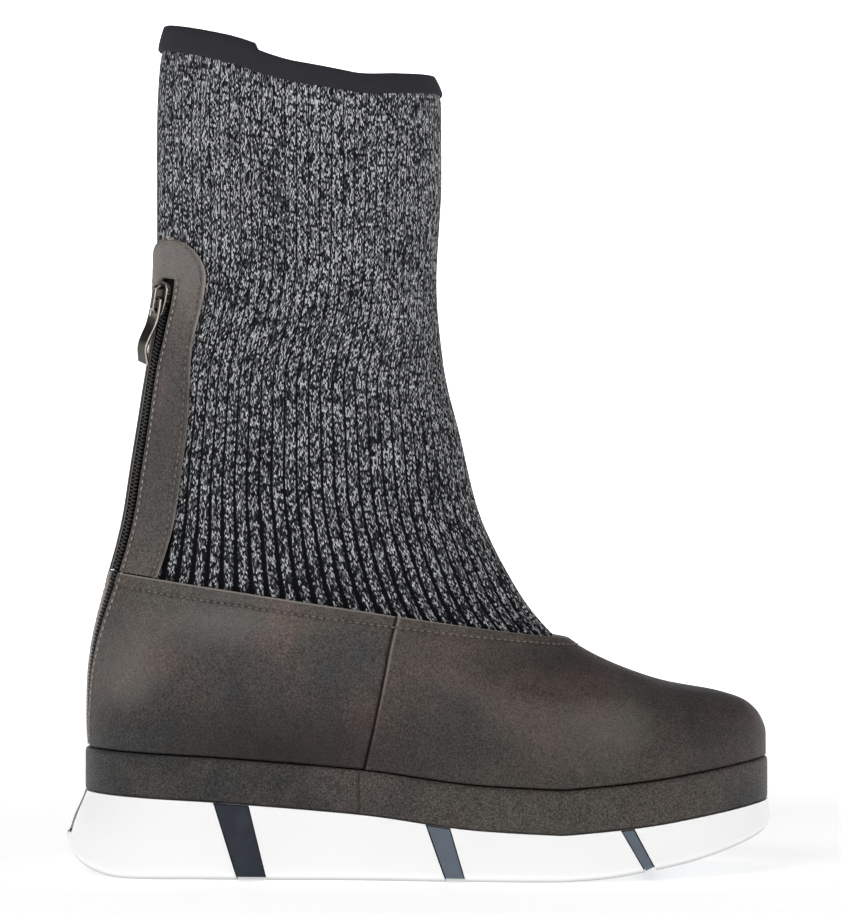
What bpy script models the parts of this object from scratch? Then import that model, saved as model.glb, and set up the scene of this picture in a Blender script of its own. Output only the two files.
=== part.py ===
"""Right-foot sock boot: leather foot, ribbed knit shaft, back zip, leather-wrapped platform and a pale sole.

The frame is +X to the toe, +Y to the medial side and +Z up, with the origin on the floor under the
middle of the boot. Every upper piece is cut from one wrap function: a level of the boot (heel to
toe at the bottom, a ring round the leg at the top) and a turn round that level.
"""

import math

import bmesh
import bpy
from mathutils import Vector

MM = 0.001

# Driving sizes, in millimetres
SOLE_LENGTH = 268.4
BALL_WIDTH = 97.0
BOOT_HEIGHT = 318.5
COLLAR_FRONT_HEIGHT = 301.3
HEEL_HEIGHT = 47.8
TOE_HEIGHT = 43.8
BALL_HEIGHT = 33.7
COLLAR_DIP = 7.0
BAND_HEIGHT = 16.2
HEEL_ROLL_LENGTH = 25.2
HEEL_ROLL_HEIGHT = 13.5
TOE_SPRING = 16.0
HEEL_FLARE = 6.9
TOE_FLARE = 1.1
SIDE_FLARE = 1.3
BAND_LEDGE = 0.9
LEATHER_WALL = 1.8
FACING_WALL = 1.1
KNIT_WALL = 2.2
SEAM_STEP = 0.6
KNIT_GAP = 0.55
KNIT_UNDERLAP = 9.0
INSOLE_THICK = 3.0
CLEARANCE = 0.3

# The back zip and its leather facing
SLOT_HALF = 4.0
TAPE_HALF = 11.0
TAPE_THICK = 0.8
COIL_HALF = 2.6
COIL_RISE = 2.3
ZIP_TOP_HEIGHT = 225.5
ARCH_TOP_HEIGHT = 240.5
SLIDER_LENGTH = 13.5
SLIDER_WIDTH = 8.2
SLIDER_THICK = 2.0
SLIDER_LIFT = 0.55
BRIDGE_RISE = 3.1
BRIDGE_THICK = 1.0
BRIDGE_WIDTH = 2.4
PULL_LENGTH = 26.0
PULL_WIDTH = 6.8
PULL_THICK = 1.2
PULL_KICK = 3.4

# The collar tape
TAPE_HEIGHT = 6.6
TAPE_WALL = 0.8
TAPE_GAP = 0.55
LAP_RISE = 1.6
LAP_FRONT = -62.0

# The dark bands let into the sole
CHANNEL_DEPTH = 3.0
STRIPE_SIDE_INSET = 0.35
STRIPE_FLOOR_INSET = 1.3
STRIPE_FIT = 0.3
BACK_STRIPE_HALF = 9.0

# Where each thing lies along the sole, as shares of its length from the heel, against its own measure
Curve = list[tuple[float, float]]
PITCH: Curve = [(0.0, 1.0), (0.165, 0.86), (0.42, 0.50), (0.58, 0.12), (0.70, 0.0)]
TOE_RISE: Curve = [(0.70, 0.0), (0.82, 0.29), (0.893, 0.56), (1.0, 1.0)]
TREAD_RISE: Curve = [(0.70, 0.0), (0.76, 0.07), (0.81, 0.19), (0.87, 0.36), (0.94, 0.67), (0.985, 0.95), (1.0, 1.1)]
FOOT_FULLNESS: Curve = [(0.0, 1.38), (0.10, 1.15), (0.20, 0.89), (0.40, 0.77), (0.55, 0.90), (0.68, 1.06),
                        (0.80, 1.16), (1.0, 1.2)]
FOOT_CENTRE: Curve = [(0.0, 0.0), (0.4, -0.03), (0.68, 0.0), (0.85, 0.022), (1.0, 0.05)]
LEG_FULLNESS: Curve = [(0.0, 0.78), (0.15, 0.91), (0.4, 1.0), (1.0, 1.0)]
COLLAR_SHAPE: Curve = [(0.0, 0.0), (0.22, -0.35), (0.5, -1.0), (0.7, -1.0), (0.87, -0.5), (1.0, 0.0)]

# One row for each level of the upper. back_z and front_z are shares of the height from platform
# to collar, at the back and at the front. back_x and front_x are shares of the sole's length from
# its heel. half is a share of the ball width, foot says how far the level keeps the foot's outline
# and sag how far it keeps the platform's curve.
LEVEL_COLUMNS = ("back_z", "front_z", "back_x", "front_x", "half", "foot", "sag")
LEVELS = [
    (0.000, 0.000, 0.0285, 0.9915, 0.470, 1.00, 1.00),
    (0.020, 0.030, 0.0270, 0.9915, 0.472, 1.00, 0.97),
    (0.042, 0.055, 0.0265, 0.9840, 0.465, 0.95, 0.88),
    (0.068, 0.077, 0.0268, 0.9640, 0.450, 0.85, 0.76),
    (0.098, 0.0915, 0.0280, 0.9250, 0.436, 0.70, 0.62),
    (0.134, 0.106, 0.0320, 0.8500, 0.412, 0.50, 0.46),
    (0.172, 0.1325, 0.0395, 0.7760, 0.392, 0.34, 0.32),
    (0.208, 0.1535, 0.0490, 0.7350, 0.380, 0.22, 0.22),
    (0.245, 0.172, 0.0590, 0.7080, 0.371, 0.14, 0.15),
    (0.285, 0.214, 0.0700, 0.6660, 0.362, 0.08, 0.08),
    (0.325, 0.270, 0.0790, 0.6310, 0.356, 0.04, 0.03),
    (0.390, 0.365, 0.0890, 0.5885, 0.356, 0.00, 0.00),
    (0.480, 0.470, 0.1035, 0.5640, 0.366, 0.00, 0.00),
    (0.580, 0.580, 0.1172, 0.5395, 0.380, 0.00, 0.00),
    (0.700, 0.700, 0.1213, 0.5300, 0.398, 0.00, 0.00),
    (0.850, 0.850, 0.1210, 0.5370, 0.418, 0.00, 0.00),
    (0.950, 0.960, 0.1250, 0.5365, 0.432, 0.00, 0.00),
    (1.000, 1.000, 0.1340, 0.5255, 0.440, 0.00, 0.00),
]
THROAT_LEVEL = 8.0
TOP_LEVEL = float(len(LEVELS) - 1)
COLLAR_FADE_LEVELS = 4.0

# The side seam between vamp and quarter, as shares of the sole's length at the platform and throat
SEAM_FOOT_X = 0.425
SEAM_THROAT_X = 0.470

# The zip's line round the leg from the middle of the back towards the outer side, in millimetres
# against the height above the floor, and how wide the facing is on each side of it
ZIP_SHIFT: Curve = [(0.0, 5.0), (80.0, 5.6), (115.0, 6.8), (163.0, 8.0), (190.0, 8.5), (204.0, 11.4), (216.0, 15.1),
                    (225.0, 17.0), (240.0, 18.5)]
FACING_OUTER: Curve = [(110.0, 23.0), (150.0, 24.3), (167.0, 24.3), (190.0, 22.6), (204.0, 20.2), (216.0, 20.0),
                       (226.0, 20.0)]
FACING_INNER: Curve = [(110.0, 20.0), (226.0, 20.0)]

# The pull's bend and its half width, against the share of its length from its head
PULL_RISE: Curve = [(0.27, 0.0), (0.42, 0.14), (0.6, 0.55), (0.78, 0.93), (1.0, 1.0)]
PULL_FORM: Curve = [(0.0, 0.9), (0.1, 1.0), (0.3, 1.0), (0.5, 0.86), (0.7, 0.86), (1.0, 1.0)]

# The dark bands: where each leaves the platform and how wide it is there, in shares of the sole's
# length, and how far it leans forward for each millimetre down
STRIPES = [
    {"name": "stripe_heel", "at": 0.238, "width": 0.049, "lean": 0.283},
    {"name": "stripe_arch", "at": 0.525, "width": 0.033, "lean": 0.327},
    {"name": "stripe_ball", "at": 0.787, "width": 0.0205, "lean": 0.56},
]
STRIPE_TAPER = 0.15

HEEL_X = -SOLE_LENGTH / 2
TOE_X = SOLE_LENGTH / 2


def follow(curve, x):
    """A smooth curve through the rows that never overshoots them."""
    if x <= curve[0][0]:
        return curve[0][1]
    if x >= curve[-1][0]:
        return curve[-1][1]
    at = next(i for i in range(len(curve) - 1) if x <= curve[i + 1][0])
    steps = [(b[1] - a[1]) / (b[0] - a[0]) for a, b in zip(curve, curve[1:])]

    def slope(i):
        if i == 0 or i == len(curve) - 1:
            return steps[min(i, len(steps) - 1)]
        before, after = steps[i - 1], steps[i]
        if before * after <= 0:
            return 0.0
        return 2 * before * after / (before + after)

    (x0, y0), (x1, y1) = curve[at], curve[at + 1]
    run = x1 - x0
    s = (x - x0) / run
    rise = y0 * (1 + 2 * s) * (1 - s) ** 2 + y1 * s * s * (3 - 2 * s)
    return rise + run * (slope(at) * s * (1 - s) ** 2 - slope(at + 1) * s * s * (1 - s))


def mix(a, b, share):
    return a + (b - a) * share


def share_along(x):
    """How far x is along the sole, 0 at the heel and 1 at the toe."""
    return (x - HEEL_X) / SOLE_LENGTH


def platform_top(x):
    """Height of the platform's top face at x."""
    s = share_along(x)
    if s < PITCH[-1][0]:
        return BALL_HEIGHT + (HEEL_HEIGHT - BALL_HEIGHT) * follow(PITCH, s)
    return BALL_HEIGHT + (TOE_HEIGHT - BALL_HEIGHT) * follow(TOE_RISE, s)


def tread(x):
    """Height of the sole's underside at x: rolled heel, flat, toe spring."""
    from_roll = (HEEL_X + HEEL_ROLL_LENGTH - x) / HEEL_ROLL_LENGTH
    if from_roll > 0:
        return HEEL_ROLL_HEIGHT * (1 - math.sqrt(max(0.0, 1 - from_roll**2)))
    return TOE_SPRING * follow(TREAD_RISE, share_along(x))


def foot_outline(turn, back_x, front_x, half):
    """A point of the foot's outline. turn is 0 at the heel, runs along the outer side and is pi at the toe."""
    t = (1 - math.cos(turn)) / 2
    x = mix(back_x, front_x, t)
    y = BALL_WIDTH * follow(FOOT_CENTRE, t) - half * math.sin(turn) * follow(FOOT_FULLNESS, t)
    return x, y


def outline_offset():
    """What centres the sole's outline on y = 0."""
    turns = [i * math.pi / 180 for i in range(360)]
    across = [foot_outline(a, HEEL_X, TOE_X, BALL_WIDTH / 2)[1] for a in turns]
    return (min(across) + max(across)) / 2, (max(across) - min(across)) / 2


Y_SHIFT, REACH = outline_offset()
WIDTH_FIT = BALL_WIDTH / 2 / REACH


def level_row(level):
    """The level table's row at any level, whole or between two."""
    found = {}
    for n, column in enumerate(LEVEL_COLUMNS):
        found[column] = follow([(float(i), row[n]) for i, row in enumerate(LEVELS)], level)
    return found


ROWS: dict[float, dict[str, float]] = {}


def level_at(level):
    key = round(level, 5)
    if key not in ROWS:
        ROWS[key] = level_row(level)
    return ROWS[key]


def skin(level, turn):
    """A point of the upper's outer surface, in millimetres."""
    row = level_at(level)
    t = (1 - math.cos(turn)) / 2
    back_x = HEEL_X + SOLE_LENGTH * row["back_x"]
    front_x = HEEL_X + SOLE_LENGTH * row["front_x"]
    x = mix(back_x, front_x, t)
    fullness = mix(follow(LEG_FULLNESS, t), follow(FOOT_FULLNESS, t), row["foot"])
    centre = BALL_WIDTH * follow(FOOT_CENTRE, t) * row["foot"] - Y_SHIFT
    y = centre - BALL_WIDTH * WIDTH_FIT * row["half"] * math.sin(turn) * fullness
    foot_back = platform_top(back_x) + CLEARANCE
    foot_front = platform_top(front_x) + CLEARANCE
    back_z = mix(HEEL_HEIGHT + CLEARANCE, BOOT_HEIGHT, row["back_z"])
    front_z = mix(TOE_HEIGHT + CLEARANCE, COLLAR_FRONT_HEIGHT, row["front_z"])
    dip = platform_top(x) + CLEARANCE - mix(foot_back, foot_front, t)
    top_share = max(0.0, 1 - (TOP_LEVEL - level) / COLLAR_FADE_LEVELS) ** 2
    z = mix(back_z, front_z, t) + dip * row["sag"] + COLLAR_DIP * follow(COLLAR_SHAPE, t) * top_share
    return Vector((x, y, z))


def outward(level, turn):
    """The upper's outward direction at a point."""
    d = 0.02
    low, high = max(0.0, level - d), min(TOP_LEVEL, level + d)
    up = skin(high, turn) - skin(low, turn)
    round_it = skin(level, turn + d) - skin(level, turn - d)
    return round_it.cross(up).normalized()


def wrap(level, turn, lift=0.0):
    """A point lifted off the upper's outer surface, in metres."""
    return (skin(level, turn) + outward(level, turn) * lift) * MM


ARCS: dict[float, list[tuple[float, float]]] = {}


def turn_at(level, arc):
    """The turn at a distance round the leg from the middle of the back, positive to the outer side."""
    key = round(level, 4)
    if key not in ARCS:
        fine = [math.pi * 0.8 * i / 80 for i in range(-80, 81)]
        points = [skin(level, a) for a in fine]
        run = [0.0]
        for a, b in zip(points, points[1:]):
            run.append(run[-1] + (b - a).length)
        ARCS[key] = [(r - run[80], a) for r, a in zip(run, fine)]
    rows = ARCS[key]
    at = next((i for i in range(1, len(rows)) if arc <= rows[i][0]), len(rows) - 1)
    (r0, a0), (r1, a1) = rows[at - 1], rows[at]
    return mix(a0, a1, (arc - r0) / (r1 - r0))


def turn_at_x(level, x):
    """The turn on the outer side where the level passes x."""
    row = level_at(level)
    back_x = HEEL_X + SOLE_LENGTH * row["back_x"]
    front_x = HEEL_X + SOLE_LENGTH * row["front_x"]
    return math.acos(1 - 2 * (x - back_x) / (front_x - back_x))


def level_of_height(z):
    """The level whose back stands at this height, in millimetres."""
    low, high = 0.0, TOP_LEVEL
    for _ in range(40):
        middle = (low + high) / 2
        if skin(middle, 0.0).z < z:
            low = middle
        else:
            high = middle
    return (low + high) / 2


def zip_arc(level):
    return follow(ZIP_SHIFT, skin(level, 0.0).z)


def on_zip(level, across, lift):
    """A point beside the zip's line: across is positive to the outer side."""
    return wrap(level, turn_at(level, zip_arc(level) + across), lift)


def clear_scene():
    for obj in list(bpy.data.objects):
        bpy.data.objects.remove(obj, do_unlink=True)


def make_collection(name):
    made = bpy.data.collections.new(name)
    bpy.context.scene.collection.children.link(made)
    return made


def make_material(name, colour, roughness, metallic=0.0):
    made = bpy.data.materials.new(name)
    made.use_nodes = True
    shader = made.node_tree.nodes["Principled BSDF"]
    shader.inputs["Base Color"].default_value = (*colour, 1.0)
    shader.inputs["Roughness"].default_value = roughness
    shader.inputs["Metallic"].default_value = metallic
    return made


def add_object(name, bm, material, collection, smooth_below=40.0):
    """Stores a bmesh as a named object."""
    mesh = bpy.data.meshes.new(name)
    bm.to_mesh(mesh)
    bm.free()
    mesh.shade_smooth()
    mesh.set_sharp_from_angle(angle=math.radians(smooth_below))
    made = bpy.data.objects.new(name, mesh)
    made.data.materials.append(material)
    collection.objects.link(made)
    return made


def helper(name, bm, material, collection):
    made = add_object(name, bm, material, collection)
    made.hide_render = True
    made.display_type = "WIRE"
    return made


def boolean(target, operation, tool):
    cut = target.modifiers.new(operation.lower(), "BOOLEAN")
    cut.operation = operation
    cut.object = tool
    cut.solver = "EXACT"


def loft(rings, ribbed_caps=False):
    """Joins closed rings of points, each with as many points, by quads and caps the first and last.
    A ribbed cap is laid in strips from side to side, so that it follows a curved outline."""
    bm = bmesh.new()
    rows = [[bm.verts.new(p) for p in ring] for ring in rings]
    count = len(rings[0])
    for low, high in zip(rows, rows[1:]):
        for i in range(count):
            j = (i + 1) % count
            bm.faces.new((low[i], low[j], high[j], high[i]))
    for row in (rows[0], rows[-1]):
        if not ribbed_caps:
            bm.faces.new(row)
            continue
        for i in range(count // 2):
            corners = [row[i], row[i + 1], row[count - i - 1], row[(count - i) % count]]
            bm.faces.new(list(dict.fromkeys(corners)))
    bmesh.ops.recalc_face_normals(bm, faces=bm.faces)
    return bm


def thicken(sheet_object, thickness):
    """Gives an open sheet its wall, inwards from the sheet."""
    wall = sheet_object.modifiers.new("wall", "SOLIDIFY")
    wall.thickness = thickness * MM
    wall.offset = -1.0
    wall.use_even_offset = True
    wall.use_quality_normals = True
    return sheet_object


def patch(name, rows, material, collection, skip=None):
    """An open sheet of quads through rows of points, with its faces turned outwards. skip leaves a quad out."""
    bm = bmesh.new()
    verts = [[bm.verts.new(p) for p in row] for row in rows]
    for r in range(len(rows) - 1):
        for c in range(len(rows[0]) - 1):
            if skip is not None and skip(r, c):
                continue
            corners = (verts[r][c], verts[r][c + 1], verts[r + 1][c + 1], verts[r + 1][c])
            bm.faces.new(corners)
    return add_object(name, bm, material, collection)


def spaced(start, end, count):
    """count + 1 even values from start to end."""
    return [mix(start, end, i / count) for i in range(count + 1)]


def make_upper(material, collection):
    """The leather foot: one hollow wall, open at the back slot, the throat and underneath.
    The vamp stands a step proud of the quarters at the side seam."""
    levels = [0.0, 0.5, 1.0, 1.6, 2.3, 3.0, 3.6, 4.2, 4.8, 5.4, 6.1, 6.8, 7.4, THROAT_LEVEL]
    ramp = 1.2
    rows = []
    for level in levels:
        up = level / THROAT_LEVEL
        seam_x = HEEL_X + SOLE_LENGTH * mix(SEAM_FOOT_X, SEAM_THROAT_X, up)
        outer = turn_at(level, zip_arc(level) + SLOT_HALF)
        inner = turn_at(level, zip_arc(level) - SLOT_HALF)
        rear = turn_at_x(level, seam_x - ramp / 2)
        fore = turn_at_x(level, seam_x + ramp / 2)
        turns = spaced(outer, rear, 8) + spaced(fore, 2 * math.pi - fore, 23)
        turns += spaced(2 * math.pi - rear, 2 * math.pi + inner, 8)
        on_vamp = range(9, 33)
        rows.append([wrap(level, a, SEAM_STEP if i in on_vamp else 0.0) for i, a in enumerate(turns)])
    return thicken(patch("upper", rows, material, collection), LEATHER_WALL)


def knit_lift(level):
    """How far the knit's face lies under the leather's: deep under the foot's edge, and shallow above it."""
    out_of_foot = min(1.0, max(0.0, level - THROAT_LEVEL))
    return -KNIT_GAP - mix(LEATHER_WALL, FACING_WALL, out_of_foot)


def make_shaft(material, collection):
    """The knit shaft: a tube from under the leather's top edge to the collar, slit for the zip."""
    foot_level = level_of_height(skin(THROAT_LEVEL, 0.0).z - KNIT_UNDERLAP)
    zip_level = level_of_height(ZIP_TOP_HEIGHT + 2.0)
    slit_rows = 12
    levels = spaced(foot_level, zip_level, slit_rows) + spaced(zip_level, TOP_LEVEL, 5)[1:]
    half = TAPE_HALF + 1.0
    rows = []
    for level in levels:
        outer = turn_at(level, zip_arc(level) + half)
        inner = turn_at(level, zip_arc(level) - half)
        turns = spaced(outer, 2 * math.pi + inner, 37)
        middle = turn_at(level, zip_arc(level)) + 2 * math.pi
        rows.append([wrap(level, a, knit_lift(level)) for a in [*turns, middle]])
    bm = bmesh.new()
    verts = [[bm.verts.new(p) for p in row] for row in rows]
    count = len(rows[0])
    for r in range(len(rows) - 1):
        for c in range(count):
            if r < slit_rows and c >= count - 2:
                continue
            d = (c + 1) % count
            bm.faces.new((verts[r][c], verts[r][d], verts[r + 1][d], verts[r + 1][c]))
    loose = [v for v in bm.verts if not v.link_faces]
    bmesh.ops.delete(bm, geom=loose, context="VERTS")
    return thicken(add_object("shaft", bm, material, collection), KNIT_WALL)


def make_facing(material, collection):
    """The leather facing round the zip: two legs joined by an arch over the slider."""
    foot_level = level_of_height(skin(THROAT_LEVEL, 0.0).z + 0.5)
    slot_level = level_of_height(ZIP_TOP_HEIGHT)
    arch_start = level_of_height(FACING_OUTER[-1][0])
    top_level = level_of_height(ARCH_TOP_HEIGHT)
    levels = spaced(foot_level, slot_level, 7)
    slot_rows = len(levels) - 1
    levels.append(arch_start)
    arch_turns = [15.0, 32.0, 50.0, 68.0, 84.0]
    levels += [mix(arch_start, top_level, math.sin(math.radians(a))) for a in arch_turns]
    narrowing = [1.0] * (slot_rows + 2) + [math.cos(math.radians(a)) for a in arch_turns]
    rows = []
    for level, share in zip(levels, narrowing):
        z = skin(level, 0.0).z
        outer = follow(FACING_OUTER, z) * share
        inner = follow(FACING_INNER, z) * share
        slot = min(SLOT_HALF, outer * 0.4)
        across = spaced(outer, slot, 4) + spaced(-slot, -inner, 4)
        rows.append([on_zip(level, a, 0.0) for a in across])

    def in_slot(r, c):
        return r < slot_rows and c == 4

    made = patch("zip_facing", [row[::-1] for row in rows], material, collection, in_slot)
    return thicken(made, FACING_WALL)


def strip(name, levels, across, profile, material, collection):
    """A solid strip along the zip: profile is a closed loop of (across, lift) points."""
    rings = [[on_zip(level, across + a, lift) for a, lift in profile] for level in levels]
    return add_object(name, loft(rings), material, collection)


def make_zip(tape_material, coil_material, collection):
    """Two tapes that meet under a raised row of teeth."""
    under = -LEATHER_WALL - KNIT_GAP
    levels = spaced(0.12, level_of_height(ZIP_TOP_HEIGHT), 18)
    width = TAPE_HALF - CLEARANCE / 2
    tape = [(-width / 2, under), (-width / 2, under - TAPE_THICK), (width / 2, under - TAPE_THICK), (width / 2, under)]
    for name, side in (("zip_tape_outer", 1), ("zip_tape_inner", -1)):
        middle = side * (width + CLEARANCE) / 2
        strip(name, levels, middle, tape, tape_material, collection)
    base = under + CLEARANCE
    crown = [(-COIL_HALF, base), (COIL_HALF, base), (COIL_HALF, base + COIL_RISE * 0.7),
             (COIL_HALF * 0.6, base + COIL_RISE), (-COIL_HALF * 0.6, base + COIL_RISE),
             (-COIL_HALF, base + COIL_RISE * 0.7)]
    top_level = level_of_height(ZIP_TOP_HEIGHT - 3.0)
    strip("zip_teeth", spaced(0.12, top_level, 18), 0.0, crown, coil_material, collection)


def zip_frame():
    """Where the slider sits: its middle and its axes up the zip, across to the outer side and outwards."""
    level = level_of_height(ZIP_TOP_HEIGHT - 1.0 - SLIDER_LENGTH / 2)
    middle = on_zip(level, 0.0, 0.0)
    up = (on_zip(level + 0.15, 0.0, 0.0) - on_zip(level - 0.15, 0.0, 0.0)).normalized()
    side = (on_zip(level, 2.0, 0.0) - on_zip(level, -2.0, 0.0)).normalized()
    out = side.cross(up).normalized()
    if out.x > 0:
        out = -out
    side = up.cross(out).normalized()
    return middle, up, side, out


def place(bm, frame, shift=(0.0, 0.0, 0.0)):
    """Moves a bmesh from its own axes (x across, y up the zip, z out) to the slider's place."""
    middle, up, side, out = frame
    for v in bm.verts:
        x, y, z = v.co.x + shift[0] * MM, v.co.y + shift[1] * MM, v.co.z + shift[2] * MM
        v.co = middle + side * x + up * y + out * z


def extruded(outline, thick):
    """A flat closed outline in the x-y plane, given a thickness centred on z = 0, in millimetres."""
    bm = bmesh.new()
    face = bm.faces.new([bm.verts.new((x * MM, y * MM, -thick / 2 * MM)) for x, y in outline])
    grown = bmesh.ops.extrude_face_region(bm, geom=[face])
    lifted = [g for g in grown["geom"] if isinstance(g, bmesh.types.BMVert)]
    bmesh.ops.translate(bm, vec=(0, 0, thick * MM), verts=lifted)
    bmesh.ops.recalc_face_normals(bm, faces=bm.faces)
    return bm


def make_slider(material, parts, cutters):
    """The slider: a body over the teeth with a bridge that holds the pull."""
    frame = zip_frame()
    middle, up, side, out = frame
    half, length = SLIDER_WIDTH / 2, SLIDER_LENGTH / 2
    outline = [(-half * 0.72, -length), (half * 0.72, -length), (half, length * 0.3), (half * 0.8, length),
               (-half * 0.8, length), (-half, length * 0.3)]
    body = extruded(outline, SLIDER_THICK)
    place(body, frame, (0.0, 0.0, SLIDER_LIFT + SLIDER_THICK / 2))
    made = add_object("zip_slider", body, material, parts, 30.0)
    foot, shoulder, inner = length * 0.82, length * 0.62, length * 0.55
    under = BRIDGE_RISE - BRIDGE_THICK
    arch = [(-foot, -0.6), (-foot, under * 0.7), (-shoulder, BRIDGE_RISE), (shoulder, BRIDGE_RISE),
            (foot, under * 0.7), (foot, -0.6), (inner, -0.6), (inner, under), (-inner, under), (-inner, -0.6)]
    bridge = extruded(arch, BRIDGE_WIDTH)
    for v in bridge.verts:
        along, rise, across = v.co
        v.co = middle + side * across + up * along + out * (rise + (SLIDER_LIFT + SLIDER_THICK) * MM)
    tool = helper("bridge_shape", bridge, material, cutters)
    boolean(made, "UNION", tool)
    return frame


def make_pull(frame, material, collection):
    """The pull tab: its head bar passes under the slider's bridge, and its plate kicks out towards its end."""
    middle, up, side, out = frame
    head = SLIDER_LIFT + SLIDER_THICK + (BRIDGE_RISE - BRIDGE_THICK) / 2
    pin = middle + out * head * MM
    bar = PULL_THICK * 0.55
    hole_end = SLIDER_LENGTH * 0.41 + 1.4
    lines = [bar, -bar, -hole_end / 2, -hole_end] + spaced(-hole_end - 1.6, bar - PULL_LENGTH, 7)
    bm = bmesh.new()
    rows = []
    for y in lines:
        s = (bar - y) / PULL_LENGTH
        rise = PULL_KICK * follow(PULL_RISE, s)
        w = PULL_WIDTH / 2 * follow(PULL_FORM, s)
        row = []
        for x in (-w, -BRIDGE_WIDTH / 2 - 0.6, BRIDGE_WIDTH / 2 + 0.6, w):
            at = pin + (side * x + up * y + out * rise) * MM
            row.append([bm.verts.new(at + out * PULL_THICK * k * MM) for k in (-0.5, 0.5)])
        rows.append(row)
    for r in range(len(rows) - 1):
        for c in range(3):
            if c == 1 and r in (1, 2):
                continue
            for k in (0, 1):
                bm.faces.new((rows[r][c][k], rows[r][c + 1][k], rows[r + 1][c + 1][k], rows[r + 1][c][k]))
    above = {v[0]: v[1] for row in rows for v in row}
    for edge in [e for e in bm.edges if len(e.link_faces) == 1]:
        a, b = edge.verts
        if a in above and b in above:
            bm.faces.new((a, b, above[b], above[a]))
    bmesh.ops.recalc_face_normals(bm, faces=bm.faces)
    made = add_object("zip_pull", bm, material, collection, 35.0)
    return made, pin


def make_binding(material, collection):
    """The tape folded over the knit's top edge, with its end lapped over its start at the outer side."""
    outer = knit_lift(TOP_LEVEL)
    gap = TAPE_GAP
    inner = outer - KNIT_WALL
    rings = []
    steps = []
    lap_turn = turn_at_x(TOP_LEVEL, LAP_FRONT)
    ramp = 0.03
    fine = [2 * math.pi * i / 40 for i in range(40)]
    for a in fine:
        if abs(a - lap_turn) > 0.08:
            steps.append(a)
    steps += [lap_turn - ramp, lap_turn + ramp]
    steps.sort()
    for a in steps:
        lapped = 1.0 if a < lap_turn or a > 2 * math.pi - 0.5 else 0.0
        rise = LAP_RISE * lapped
        wall = TAPE_WALL * (1 + 0.6 * lapped)
        head = skin(TOP_LEVEL, a)
        down = (skin(TOP_LEVEL - 0.5, a) - head).normalized()
        away = outward(TOP_LEVEL, a)
        profile = [
            (outer + gap, TAPE_HEIGHT), (outer + gap + wall, TAPE_HEIGHT), (outer + gap + wall, -rise),
            (outer + gap + wall * 0.3, -rise - gap - wall), (inner - gap - TAPE_WALL * 0.3, -rise - gap - wall),
            (inner - gap - TAPE_WALL, -rise), (inner - gap - TAPE_WALL, TAPE_HEIGHT), (inner - gap, TAPE_HEIGHT),
            (inner - gap, -gap), (outer + gap, -gap),
        ]
        rings.append([(head + away * lift + down * depth) * MM for lift, depth in profile])
    bm = bmesh.new()
    verts = [[bm.verts.new(p) for p in ring] for ring in rings]
    n, m = len(verts), len(verts[0])
    for i in range(n):
        for j in range(m):
            k, l = (i + 1) % n, (j + 1) % m
            bm.faces.new((verts[i][j], verts[k][j], verts[k][l], verts[i][l]))
    bmesh.ops.recalc_face_normals(bm, faces=bm.faces)
    return add_object("collar_binding", bm, material, collection)


def sole_ring(count, inset_end, inset_side, height):
    """A ring of the sole's outline, drawn in by its insets, with height a function of x."""
    points = []
    for i in range(count):
        a = 2 * math.pi * i / count
        back, front = HEEL_X + inset_end(0.0), TOE_X - inset_end(1.0)
        x, y = foot_outline(a, back, front, BALL_WIDTH / 2 * WIDTH_FIT - inset_side)
        points.append(Vector((x, y - Y_SHIFT, height(x))) * MM)
    return points


def band_ends(extra):
    """How far the band's outline stands in from the sole's, at the heel and at the toe."""
    return lambda t: mix(HEEL_FLARE, TOE_FLARE, t) + extra


def sole_form(side_inset, floor_inset, top_gap):
    """The closed form of the sole unit, drawn in all round by its insets."""
    count = 56

    def at(share, lift):
        return lambda x: mix(tread(x) + floor_inset, platform_top(x) - BAND_HEIGHT - top_gap, share) + lift

    def even(extra):
        return lambda t: extra + side_inset

    def bulge(t):
        return mix(HEEL_FLARE, TOE_FLARE, t) * 0.3 + side_inset

    rings = [
        sole_ring(count, even(9.0), side_inset + 7.0, at(0.0, 0.0)),
        sole_ring(count, even(2.6), side_inset + 2.4, at(0.0, 0.0)),
        sole_ring(count, even(0.7), side_inset + 0.7, at(0.0, 0.9)),
        sole_ring(count, even(0.0), side_inset, at(0.0, 2.4)),
        sole_ring(count, bulge, side_inset + SIDE_FLARE * 0.4, at(0.5, 0.0)),
        sole_ring(count, band_ends(side_inset), side_inset + SIDE_FLARE, at(1.0, 0.0)),
    ]
    return loft(rings, ribbed_caps=True)


def slab(stripe, shrink):
    """A slanted slab right across the sole, one stripe wide and narrower towards the floor."""
    middle = HEEL_X + SOLE_LENGTH * stripe["at"]
    half = SOLE_LENGTH * stripe["width"] / 2
    crown = platform_top(middle) - BAND_HEIGHT
    levels = (HEEL_HEIGHT, -5.0)
    section = []
    for z, order in zip(levels, ((-1, 1), (1, -1))):
        down = crown - z
        reach = half * (1 - STRIPE_TAPER * down / crown) - shrink
        section += [(middle + stripe["lean"] * down + reach * side, z) for side in order]
    bm = bmesh.new()
    corners = [bm.verts.new(Vector((x, y, z)) * MM) for y in (-BALL_WIDTH, BALL_WIDTH) for x, z in section]
    bm.faces.new(corners[:4])
    bm.faces.new(corners[4:][::-1])
    for i in range(4):
        j = (i + 1) % 4
        bm.faces.new((corners[i], corners[i + 4], corners[j + 4], corners[j]))
    bmesh.ops.recalc_face_normals(bm, faces=bm.faces)
    return bm


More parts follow.
